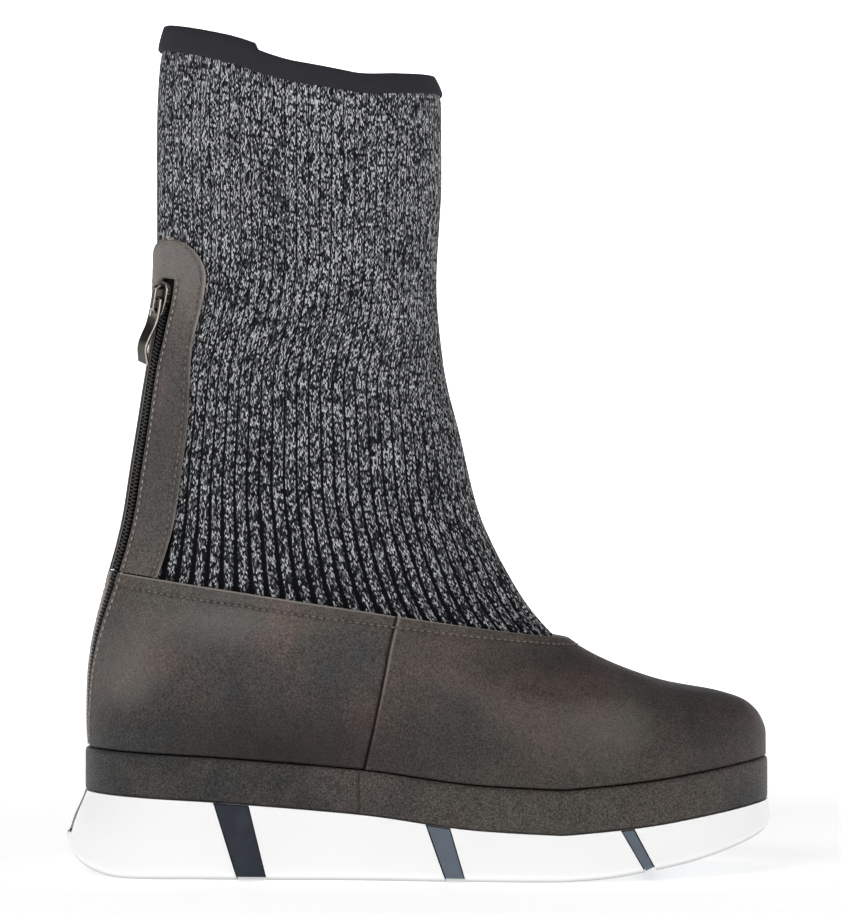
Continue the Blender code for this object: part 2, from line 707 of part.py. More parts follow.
def back_slab(shrink):
    """The block that bounds the panel at the middle of the heel's back."""
    half = BACK_STRIPE_HALF - shrink
    low, high = HEEL_ROLL_HEIGHT + shrink, HEEL_HEIGHT
    bm = bmesh.new()
    bmesh.ops.create_cube(bm, size=1.0)
    bmesh.ops.scale(bm, vec=Vector((60.0, half * 2, high - low)) * MM, verts=bm.verts)
    bmesh.ops.translate(bm, vec=Vector((HEEL_X, 0.0, (high + low) / 2)) * MM, verts=bm.verts)
    return bm


def make_sole(sole_material, stripe_material, parts, cutters):
    """The pale sole unit and the dark bands let into channels across it."""
    sole = add_object("outsole", sole_form(0.0, 0.0, CLEARANCE), sole_material, parts)
    core = helper("channel_floor", sole_form(CHANNEL_DEPTH, CHANNEL_DEPTH, -5.0), sole_material, cutters)
    skin_form = helper("stripe_skin", sole_form(STRIPE_SIDE_INSET, STRIPE_FLOOR_INSET, CLEARANCE * 2), sole_material,
                       cutters)
    seat = helper("stripe_seat", sole_form(CHANNEL_DEPTH - STRIPE_FIT, CHANNEL_DEPTH - STRIPE_FIT, -5.0),
                  sole_material, cutters)
    blocks = [(s["name"], slab(s, 0.0), slab(s, STRIPE_FIT)) for s in STRIPES]
    blocks.append(("stripe_back", back_slab(0.0), back_slab(STRIPE_FIT)))
    for name, wide, narrow in blocks:
        channel = helper(name + "_channel", wide, sole_material, cutters)
        boolean(channel, "DIFFERENCE", core)
        boolean(sole, "DIFFERENCE", channel)
        band = add_object(name, narrow, stripe_material, parts)
        boolean(band, "INTERSECT", skin_form)
        boolean(band, "DIFFERENCE", seat)


def make_midsole(material, collection):
    """The leather-wrapped platform, with a lap in its wrap at each side below the upper's seam."""
    seam_x = HEEL_X + SOLE_LENGTH * SEAM_FOOT_X
    count = 56

    def ring(inset, height):
        points = sole_ring(count, band_ends(inset), SIDE_FLARE + inset, height)
        for p in points:
            if p.x < seam_x * MM:
                p.y -= math.copysign(0.35, p.y) * MM if abs(p.y) > 0.01 else 0.0
        return points

    rings = [
        ring(3.0, lambda x: platform_top(x) - BAND_HEIGHT),
        ring(0.5, lambda x: platform_top(x) - BAND_HEIGHT),
        ring(0.0, lambda x: platform_top(x) - BAND_HEIGHT + 0.8),
        ring(0.0, lambda x: platform_top(x) - 1.0),
        ring(0.7, lambda x: platform_top(x)),
        ring(6.0, lambda x: platform_top(x)),
    ]
    return add_object("midsole", loft(rings, ribbed_caps=True), material, collection)


def make_insole(material, collection):
    """The sock lining's board, lying on the platform inside the upper."""
    count = 40
    rim = LEATHER_WALL + SEAM_STEP + CLEARANCE * 2 + 1.6
    base = CLEARANCE
    rings = []
    for inset, lift in ((1.2, base), (0.0, base + 0.6), (0.0, base + INSOLE_THICK - 0.6), (1.2, base + INSOLE_THICK)):
        points = sole_ring(count, band_ends(BAND_LEDGE + rim + inset), SIDE_FLARE + BAND_LEDGE + rim + inset,
                           lambda x, lift=lift: platform_top(x) + lift)
        rings.append(points)
    return add_object("insole", loft(rings, ribbed_caps=True), material, collection)


def main():
    clear_scene()
    parts = make_collection("sock_boot")
    cutters = make_collection("cutters")
    leather = make_material("waxed_leather", (0.075, 0.062, 0.054), 0.55)
    wrap_leather = make_material("grained_leather", (0.062, 0.054, 0.050), 0.6)
    knit = make_material("marled_knit", (0.10, 0.10, 0.105), 0.9)
    tape = make_material("elastic_tape", (0.018, 0.018, 0.021), 0.85)
    metal = make_material("gunmetal", (0.16, 0.15, 0.14), 0.35, 1.0)
    white = make_material("white_foam", (0.86, 0.86, 0.86), 0.5)
    navy = make_material("navy_rubber", (0.02, 0.026, 0.045), 0.35)
    lining = make_material("lining", (0.10, 0.09, 0.08), 0.8)

    make_sole(white, navy, parts, cutters)
    make_midsole(wrap_leather, parts)
    make_insole(lining, parts)
    make_upper(leather, parts)
    make_shaft(knit, parts)
    make_facing(leather, parts)
    make_zip(tape, tape, parts)
    frame = make_slider(metal, parts, cutters)
    make_pull(frame, metal, parts)
    make_binding(tape, parts)


main()
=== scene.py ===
# %% [markdown]
# # Dressing a knit boot
#
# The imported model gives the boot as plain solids. This notebook dresses them: waxed leather on the
# foot, a marled rib knit on the leg, a coil zip up the back and a pale foam sole with dark bands.
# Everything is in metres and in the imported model's own frame: +X to the toe, +Z up, and the outer
# side of the foot towards -Y, where the camera stands.

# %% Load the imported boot
import math

import bmesh
import bpy
import numpy as np
from mathutils import Matrix, Vector, noise


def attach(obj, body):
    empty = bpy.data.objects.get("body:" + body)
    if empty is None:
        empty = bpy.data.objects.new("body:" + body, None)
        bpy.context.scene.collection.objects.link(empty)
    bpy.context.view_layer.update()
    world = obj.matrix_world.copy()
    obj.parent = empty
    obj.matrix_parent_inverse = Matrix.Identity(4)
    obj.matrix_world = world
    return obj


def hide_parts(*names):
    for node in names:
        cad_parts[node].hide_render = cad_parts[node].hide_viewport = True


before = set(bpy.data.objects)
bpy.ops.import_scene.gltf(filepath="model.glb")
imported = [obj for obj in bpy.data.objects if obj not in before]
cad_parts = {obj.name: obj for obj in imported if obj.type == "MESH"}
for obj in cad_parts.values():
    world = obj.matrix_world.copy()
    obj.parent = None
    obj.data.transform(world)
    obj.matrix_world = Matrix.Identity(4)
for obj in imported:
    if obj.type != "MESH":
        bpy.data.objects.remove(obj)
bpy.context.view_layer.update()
MM = 0.001

# %% [markdown]
# ## Camera, floor and light first
#
# The boot was photographed level, straight from its outer side, on white. A long lens a metre and a
# half away keeps the shaft's sides nearly parallel. The floor is a wide disc of white paper that rises
# all round in a low cove, spun from one profile, so that no horizon line shows from any side.

# %% Camera
VIEW_DISTANCE = 1.5
VIEW_HEIGHT = 0.1576
VIEW_ALONG = 0.0004
LENS = 155.0
SENSOR_WIDTH = 36.0

camera_data = bpy.data.cameras.new("camera")
camera_data.lens = LENS
camera_data.sensor_width = SENSOR_WIDTH
camera = bpy.data.objects.new("camera", camera_data)
camera.location = (VIEW_ALONG, -VIEW_DISTANCE, VIEW_HEIGHT)
camera.rotation_euler = (math.pi / 2, 0.0, 0.0)
bpy.context.scene.collection.objects.link(camera)
bpy.context.scene.camera = camera
# Product photographs on white are shown without a film curve, so black and white stay as they were.
bpy.context.scene.view_settings.view_transform = "Standard"


# %% Colours are written as the hex values that a paint program shows
def linear(hex_code):
    """Turns an sRGB hex value such as #4a4340 into the linear colour that a shader wants."""
    channels = [int(hex_code[i : i + 2], 16) / 255 for i in (1, 3, 5)]
    return tuple(c / 12.92 if c <= 0.04045 else ((c + 0.055) / 1.055) ** 2.4 for c in channels) + (1.0,)


def add(tree, kind, inputs=(), **settings):
    """Adds a shader node with its settings. inputs is a list in the order of the sockets, or maps sockets
    to values. A socket among the values is linked, and so is a node, by its first output."""
    node = tree.nodes.new("ShaderNode" + kind)
    for name, value in settings.items():
        setattr(node, name, value)
    for name, value in inputs.items() if isinstance(inputs, dict) else enumerate(inputs):
        source = value.outputs[0] if isinstance(value, bpy.types.Node) else value
        if isinstance(source, bpy.types.NodeSocket):
            tree.links.new(source, node.inputs[name])
        else:
            node.inputs[name].default_value = source
    return node


def new_finish(name, **sockets):
    """A material with a Principled shader, whose sockets are set here, with _ for a space in a name."""
    made = bpy.data.materials.new(name)
    made.use_nodes = True
    shader = made.node_tree.nodes["Principled BSDF"]
    for socket, value in sockets.items():
        shader.inputs[socket.replace("_", " ")].default_value = value
    return made, made.node_tree, shader


def join(tree, source, shader, socket):
    tree.links.new(source, shader.inputs[socket])


def two_tone(name, dark, light, spot_mm, detail, **sockets):
    """A finish that drifts between two hex tones in spots of about spot_mm. It comes with what more can be
    built on: its tree, shader, place, noise and tones."""
    made, tree, shader = new_finish(name, **sockets)
    at = add(tree, "TexCoord").outputs["Object"]
    spots = add(tree, "TexNoise", {"Vector": at, "Scale": 1000 / spot_mm, "Detail": detail})
    tones = add(tree, "ValToRGB", [spots])
    tones.color_ramp.elements[0].color = linear(dark)
    tones.color_ramp.elements[1].color = linear(light)
    join(tree, tones.outputs["Color"], shader, "Base Color")
    return made, tree, shader, at, spots, tones


# %% Paper floor
FLOOR_REACH = 5.0
COVE_RADIUS = 1.0
COVE_HEIGHT = 1.5
GLOW_NEAR = 0.55
GLOW_FAR = 0.95
# Matt white card. It glows a little, more so past the boot, as card does under its own background lamps.
paper, paper_tree, paper_shader = new_finish("white_paper", Base_Color=linear("#f6f6f6"), Roughness=0.9,
                                             Specular_IOR_Level=0.1, Emission_Color=(1.0, 1.0, 1.0, 1.0))
paper_at = add(paper_tree, "TexCoord").outputs["Object"]
paper_far = add(paper_tree, "VectorMath", [paper_at], operation="LENGTH").outputs["Value"]
paper_glow = add(paper_tree, "MapRange", {"Value": paper_far, "From Min": 0.3, "From Max": 1.0,
                                          "To Min": GLOW_NEAR, "To Max": GLOW_FAR})
join(paper_tree, paper_glow.outputs["Result"], paper_shader, "Emission Strength")

bm = bmesh.new()
bends = [math.radians(a) for a in range(0, 91, 15)]
cove = [(FLOOR_REACH + COVE_RADIUS * math.sin(a), COVE_RADIUS * (1 - math.cos(a))) for a in bends]
profile = [(0.0, 0.0)] + cove + [(FLOOR_REACH + COVE_RADIUS, COVE_HEIGHT)]
spokes = [bm.verts.new((r, 0.0, z)) for r, z in profile]
spoke_edges = [bm.edges.new(pair) for pair in zip(spokes, spokes[1:])]
bmesh.ops.spin(bm, geom=spokes + spoke_edges, cent=(0.0, 0.0, 0.0), axis=(0.0, 0.0, 1.0), angle=2 * math.pi,
               steps=64, use_merge=True)
bmesh.ops.remove_doubles(bm, verts=bm.verts, dist=0.01 * MM)
bmesh.ops.recalc_face_normals(bm, faces=bm.faces)
mesh = bpy.data.meshes.new("paper_floor")
bm.to_mesh(mesh)
bm.free()
mesh.shade_smooth()
floor = bpy.data.objects.new("paper_floor", mesh)
floor.data.materials.append(paper)
bpy.context.scene.collection.objects.link(floor)

# %% [markdown]
# One large soft lamp to the left of the camera shapes the boot, a weak one opens the shadows at the toe and
# one above draws the upper edges. Together they stay even, as the photograph's light is.

# %% Light
WORLD_LIGHT = 0.2
world = bpy.data.worlds.new("studio")
world.use_nodes = True
world.node_tree.nodes["Background"].inputs["Color"].default_value = (1.0, 1.0, 1.0, 1.0)
world.node_tree.nodes["Background"].inputs["Strength"].default_value = WORLD_LIGHT
bpy.context.scene.world = world


def softbox(name, place, aim, size, power):
    """A large soft lamp, aimed at a point."""
    data = bpy.data.lights.new(name, "AREA")
    data.shape = "RECTANGLE"
    data.size, data.size_y = size
    data.energy = power
    lamp = bpy.data.objects.new(name, data)
    lamp.location = place
    lamp.rotation_euler = (Vector(aim) - Vector(place)).to_track_quat("-Z", "Y").to_euler()
    bpy.context.scene.collection.objects.link(lamp)


softbox("key", (-0.9, -1.5, 1.5), (0.0, 0.0, 0.15), (1.0, 1.0), 9.5)
softbox("fill", (1.4, -1.1, 0.9), (0.0, 0.0, 0.12), (1.0, 1.2), 2.0)
softbox("top", (0.0, 0.3, 1.6), (0.0, 0.0, 0.15), (1.4, 1.0), 2.4)
print("lights:", len(bpy.data.lights))

# %% [markdown]
# ## The shape that every upper piece wraps
#
# A boot's upper is one continuous skin, so all its pieces come from one function. A level says how
# high up we are (0 at the platform, 8 at the top of the leather, 17 at the collar), and a turn says
# how far round: 0 at the middle of the back, a quarter on the outer side, half at the toe. The rows
# below are shares of the boot's own sizes, the same ones the solids were built from.

# %% The boot's sizes and its table of levels
SOLE_LENGTH = 268.4
BALL_WIDTH = 97.0
BOOT_HEIGHT = 318.5
COLLAR_FRONT_HEIGHT = 301.3
HEEL_HEIGHT = 47.8
TOE_HEIGHT = 43.8
BALL_HEIGHT = 33.7
COLLAR_DIP = 7.0
BAND_HEIGHT = 16.2
HEEL_ROLL_LENGTH = 25.2
HEEL_ROLL_HEIGHT = 13.5
TOE_SPRING = 16.0
HEEL_FLARE = 6.9
TOE_FLARE = 1.1
SIDE_FLARE = 1.3
LEATHER_WALL = 1.8
FACING_WALL = 1.1
KNIT_WALL = 2.2
KNIT_GAP = 0.55
GAP = 0.3
HEEL_X = -SOLE_LENGTH / 2
TOE_X = SOLE_LENGTH / 2

PITCH = [(0.0, 1.0), (0.165, 0.86), (0.42, 0.50), (0.58, 0.12), (0.70, 0.0)]
TOE_RISE = [(0.70, 0.0), (0.82, 0.29), (0.893, 0.56), (1.0, 1.0)]
TREAD_RISE = [(0.70, 0.0), (0.76, 0.07), (0.81, 0.19), (0.87, 0.36), (0.94, 0.67), (0.985, 0.95),
              (1.0, 1.1)]
FOOT_FULLNESS = [(0.0, 1.38), (0.10, 1.15), (0.20, 0.89), (0.40, 0.77), (0.55, 0.90), (0.68, 1.06),
                 (0.80, 1.16), (1.0, 1.2)]
FOOT_CENTRE = [(0.0, 0.0), (0.4, -0.03), (0.68, 0.0), (0.85, 0.022), (1.0, 0.05)]
LEG_FULLNESS = [(0.0, 0.78), (0.15, 0.91), (0.4, 1.0), (1.0, 1.0)]
COLLAR_SHAPE = [(0.0, 0.0), (0.22, -0.35), (0.5, -1.0), (0.7, -1.0), (0.87, -0.5), (1.0, 0.0)]
LEVEL_COLUMNS = ("back_z", "front_z", "back_x", "front_x", "half", "foot", "sag")
LEVELS = [
    (0.000, 0.000, 0.0285, 0.9915, 0.470, 1.00, 1.00),
    (0.020, 0.030, 0.0270, 0.9915, 0.472, 1.00, 0.97),
    (0.042, 0.055, 0.0265, 0.9840, 0.465, 0.95, 0.88),
    (0.068, 0.077, 0.0268, 0.9640, 0.450, 0.85, 0.76),
    (0.098, 0.0915, 0.0280, 0.9250, 0.436, 0.70, 0.62),
    (0.134, 0.106, 0.0320, 0.8500, 0.412, 0.50, 0.46),
    (0.172, 0.1325, 0.0395, 0.7760, 0.392, 0.34, 0.32),
    (0.208, 0.1535, 0.0490, 0.7350, 0.380, 0.22, 0.22),
    (0.245, 0.172, 0.0590, 0.7080, 0.371, 0.14, 0.15),
    (0.285, 0.214, 0.0700, 0.6660, 0.362, 0.08, 0.08),
    (0.325, 0.270, 0.0790, 0.6310, 0.356, 0.04, 0.03),
    (0.390, 0.365, 0.0890, 0.5885, 0.356, 0.00, 0.00),
    (0.480, 0.470, 0.1035, 0.5640, 0.366, 0.00, 0.00),
    (0.580, 0.580, 0.1172, 0.5395, 0.380, 0.00, 0.00),
    (0.700, 0.700, 0.1213, 0.5300, 0.398, 0.00, 0.00),
    (0.850, 0.850, 0.1210, 0.5370, 0.418, 0.00, 0.00),
    (0.950, 0.960, 0.1250, 0.5365, 0.432, 0.00, 0.00),
    (1.000, 1.000, 0.1340, 0.5255, 0.440, 0.00, 0.00),
]
THROAT_LEVEL = 8.0
TOP_LEVEL = 17.0
SEAM_FOOT_X = 0.425
SEAM_THROAT_X = 0.470
# These rows hold a height and a distance round from the middle of the back, in millimetres.
ZIP_SHIFT = [(0.0, 5.0), (80.0, 5.6), (115.0, 6.8), (163.0, 8.0), (190.0, 8.5), (204.0, 11.4),
             (216.0, 15.1), (225.0, 17.0), (240.0, 18.5)]
FACING_OUTER = [(110.0, 23.0), (150.0, 24.3), (167.0, 24.3), (190.0, 22.6), (204.0, 20.2), (216.0, 20.0),
                (226.0, 20.0)]
FACING_INNER = [(110.0, 20.0), (226.0, 20.0)]
ZIP_TOP_HEIGHT = 225.5
ARCH_TOP_HEIGHT = 240.5
SLOT_HALF = 4.0
TAPE_HALF = 11.0
TAPE_THICK = 0.8


# %% Smooth curves through a few rows
PREPARED = {}


def prepare(rows):
    """The knots, values, steps and slopes of a curve that never overshoots its rows."""
    xs, ys = np.array(rows).T
    run = np.diff(xs)
    step = np.diff(ys) / run
    total = step[:-1] + step[1:]
    same_way = step[:-1] * step[1:] > 0
    inner = np.where(same_way, 2 * step[:-1] * step[1:] / np.where(same_way, total, 1.0), 0.0)
    return xs, ys, run, np.concatenate(([step[0]], inner, [step[-1]]))


def follow(rows, x):
    """A smooth curve through the rows, for one x or a whole array."""
    key = id(rows)
    if key not in PREPARED:
        PREPARED[key] = (rows, prepare(rows))
    xs, ys, run, slope = PREPARED[key][1]
    x = np.asarray(x, dtype=float)
    i = np.clip(np.searchsorted(xs, x) - 1, 0, len(run) - 1)
    s = np.clip((x - xs[i]) / run[i], 0.0, 1.0)
    level_part = ys[i] * (1 + 2 * s) * (1 - s) ** 2 + ys[i + 1] * s * s * (3 - 2 * s)
    return level_part + run[i] * (slope[i] * s * (1 - s) ** 2 - slope[i + 1] * s * s * (1 - s))


def mix(a, b, share):
    return a + (b - a) * share


def smooth(x):
    """Rises gently from 0 to 1 as x does."""
    x = np.clip(x, 0.0, 1.0)
    return x * x * (3 - 2 * x)


def platform_top(x):
    """Height of the platform's top at x."""
    s = (x - HEEL_X) / SOLE_LENGTH
    back = BALL_HEIGHT + (HEEL_HEIGHT - BALL_HEIGHT) * follow(PITCH, s)
    return back + (TOE_HEIGHT - BALL_HEIGHT) * follow(TOE_RISE, s)


def tread(x):
    """Height of the sole's underside at x."""
    from_roll = np.clip((HEEL_X + HEEL_ROLL_LENGTH - x) / HEEL_ROLL_LENGTH, 0.0, 1.0)
    roll = HEEL_ROLL_HEIGHT * (1 - np.sqrt(1 - from_roll**2))
    return roll + TOE_SPRING * follow(TREAD_RISE, (x - HEEL_X) / SOLE_LENGTH)


# %% The skin function
def outline(turn, back_x, front_x, half):
    t = (1 - np.cos(turn)) / 2
    y = BALL_WIDTH * follow(FOOT_CENTRE, t) - half * np.sin(turn) * follow(FOOT_FULLNESS, t)
    return mix(back_x, front_x, t), y


fine_turns = np.arange(360) * math.pi / 180
fine_y = outline(fine_turns, HEEL_X, TOE_X, BALL_WIDTH / 2)[1]
Y_SHIFT = (fine_y.min() + fine_y.max()) / 2
WIDTH_FIT = BALL_WIDTH / (fine_y.max() - fine_y.min())

LEVEL_CURVES = {}
for column, values in zip(LEVEL_COLUMNS, zip(*LEVELS)):
    LEVEL_CURVES[column] = list(enumerate(values))


def skin(level, turn):
    """Points of the upper's outer surface, in millimetres, for arrays of levels and turns."""
    level, turn = np.broadcast_arrays(np.asarray(level, float), np.asarray(turn, float))
    row = {name: follow(curve, level) for name, curve in LEVEL_CURVES.items()}
    t = (1 - np.cos(turn)) / 2
    back_x = HEEL_X + SOLE_LENGTH * row["back_x"]
    front_x = HEEL_X + SOLE_LENGTH * row["front_x"]
    x = mix(back_x, front_x, t)
    full = mix(follow(LEG_FULLNESS, t), follow(FOOT_FULLNESS, t), row["foot"])
    centre = BALL_WIDTH * follow(FOOT_CENTRE, t) * row["foot"] - Y_SHIFT
    y = centre - BALL_WIDTH * WIDTH_FIT * row["half"] * np.sin(turn) * full
    back_z = mix(HEEL_HEIGHT + GAP, BOOT_HEIGHT, row["back_z"])
    front_z = mix(TOE_HEIGHT + GAP, COLLAR_FRONT_HEIGHT, row["front_z"])
    dip = platform_top(x) - mix(platform_top(back_x), platform_top(front_x), t)
    top = np.clip(1 - (TOP_LEVEL - level) / 4.0, 0.0, 1.0) ** 2
    z = mix(back_z, front_z, t) + dip * row["sag"] + COLLAR_DIP * follow(COLLAR_SHAPE, t) * top
    return np.stack((x, y, z), axis=-1)


def outward(level, turn):
    """The direction straight out of the upper."""
    d = 0.02
    low, high = np.maximum(0.0, level - d), np.minimum(TOP_LEVEL, level + d)
    up = skin(high, turn) - skin(low, turn)
    ahead = skin(level, turn + d) - skin(level, turn - d)
    way = np.cross(ahead, up)
    return way / np.linalg.norm(way, axis=-1, keepdims=True)


def wrap(level, turn, lift=0.0):
    """Points lifted off the upper's surface, in metres."""
    level, turn, lift = np.broadcast_arrays(level, turn, lift)
    return (skin(level, turn) + outward(level, turn) * lift[..., None]) * MM


# %% Finding a place by a distance
def turns_at(level, arcs):
    """The turns at distances round one level from the middle of the back, positive to the outer side."""
    fine = np.linspace(-math.pi, math.pi, 721)
    points = skin(level, fine)
    run = np.concatenate(([0.0], np.cumsum(np.linalg.norm(np.diff(points, axis=0), axis=1))))
    return np.interp(arcs, run - run[360], fine)


def girth(level):
    fine = np.linspace(0.0, 2 * math.pi, 721)
    return np.linalg.norm(np.diff(skin(level, fine), axis=0), axis=1).sum()


def turn_at_x(level, x):
    """The turn on the outer side where a level passes x."""
    ends = skin(level, np.array([0.0, math.pi]))[:, 0]
    return math.acos(1 - 2 * (x - ends[0]) / (ends[1] - ends[0]))


def level_of_height(z):
    """The level whose back stands at this height."""
    fine = np.linspace(0.0, TOP_LEVEL, 1701)
    return float(np.interp(z, skin(fine, 0.0)[:, 2], fine))


def zip_arc(level):
    return float(follow(ZIP_SHIFT, skin(level, 0.0)[2]))


def on_zip(level, across, lift=0.0):
    """A point beside the zip's line, positive to the outer side."""
    return wrap(level, turns_at(level, zip_arc(level) + across), lift)


SLOT_LEVEL = level_of_height(ZIP_TOP_HEIGHT)
ARCH_LEVEL = level_of_height(ARCH_TOP_HEIGHT)
print("girth at the collar, mm:", round(girth(TOP_LEVEL)), "at the throat:", round(girth(THROAT_LEVEL)))


# %% [markdown]
# ## From a flat grid to a piece
#
# Each soft piece starts as a flat bmesh grid. Every corner of the grid is then carried to its place
# on the boot, as a tailor lays a pattern piece on a last. The grid's UV map keeps real millimetres or
# rib counts, so that weave and stitches follow the piece instead of sliding over it.

# %% Grids and finished objects
def once(items):
    """The items without repeats, in their own order, so that each run builds its meshes the same way."""
    return list(dict.fromkeys(items))


def lay_grid(places, marks=None, shares=None, bm=None, gap=None, share_name="wear_and_painted_light"):
    """Lays a grid on the given places, rows by columns. marks are UVs, shares go to a vertex attribute, and
    gap(row, column) drops faces."""
    rows, cols = places.shape[:2]
    bm = bm or bmesh.new()
    uv = bm.loops.layers.uv.get("UVMap") or bm.loops.layers.uv.new("UVMap")
    share = bm.verts.layers.float.get(share_name) or bm.verts.layers.float.new(share_name)
    made = bmesh.ops.create_grid(bm, x_segments=cols - 1, y_segments=rows - 1, size=1.0)["verts"]
    spot = {}
    for v in made:
        spot[v] = (round((v.co.y + 1) / 2 * (rows - 1)), round((v.co.x + 1) / 2 * (cols - 1)))
    faces = once(face for v in made for face in v.link_faces)
    for v, (r, c) in spot.items():
        v.co = places[r, c]
        if shares is not None:
            v[share] = shares[r, c]
    dropped = []
    for face in faces:
        corners = [spot[v] for v in face.verts]
        if gap and gap(min(r for r, c in corners), min(c for r, c in corners)):
            dropped.append(face)
        if marks is not None:
            for loop in face.loops:
                loop[uv].uv = marks[spot[loop.vert]]
    bmesh.ops.delete(bm, geom=dropped, context="FACES")
    return bm


def finish_piece(name, bm, finish, nodes=(), body="boot", smooth_below=50.0, rim=None):
    """Turns a bmesh into a piece that rides on a body and stands for CAD nodes."""
    mesh = bpy.data.meshes.new(name)
    bm.to_mesh(mesh)
    bm.free()
    mesh.shade_smooth()
    mesh.set_sharp_from_angle(angle=math.radians(smooth_below))
    piece = bpy.data.objects.new(name, mesh)
    for made in (finish, rim):
        if made is not None:
            mesh.materials.append(made)
    bpy.context.scene.collection.objects.link(piece)
    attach(piece, body)
    if nodes:
        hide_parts(*nodes)
    print(name, "faces:", len(mesh.polygons))
    return piece


def give_wall(piece, thickness, rim_slot=0, even=True):
    """Solidify thickens a sheet inwards, and may give its cut edge a finish of its own."""
    wall = piece.modifiers.new("wall", "SOLIDIFY")
    wall.thickness = thickness * MM
    wall.offset = -1.0
    wall.use_even_offset = even
    wall.use_quality_normals = True
    wall.material_offset_rim = rim_slot
    return piece


def metres_along(places):
    """How far each place lies from the bottom of its own column, in millimetres."""
    steps = np.linalg.norm(np.diff(places, axis=0), axis=2) / MM
    return np.concatenate((np.zeros((1, places.shape[1])), np.cumsum(steps, axis=0)))


# %% [markdown]
# ## Waxed leather
#
# The foot is cow leather finished with wax and dye rubbed in by hand, which leaves clouds of brown,
# olive and plum, a fine grain and a soft sheen. Noises at real sizes carry that: clouds and patches of a
# few centimetres, mottling of four millimetres, dust of under a millimetre, and a grain of small cells.
# A vertex attribute adds what belongs to a place: above 0 pale cut edges, rubs and painted highlights,
# below 0 dark patches and painted shade in creases and grooves.

# %% Leather finishes
CLOUD_MM = 45.0
PATCH_MM = 30.0
MOTTLE_MM = 4.0
DUST_MM = 0.7
VAMP_X = 0.045
DUST_SHARE = 0.75
MOTTLE_SHARE = 0.16
SPECK_SPREAD = 0.165


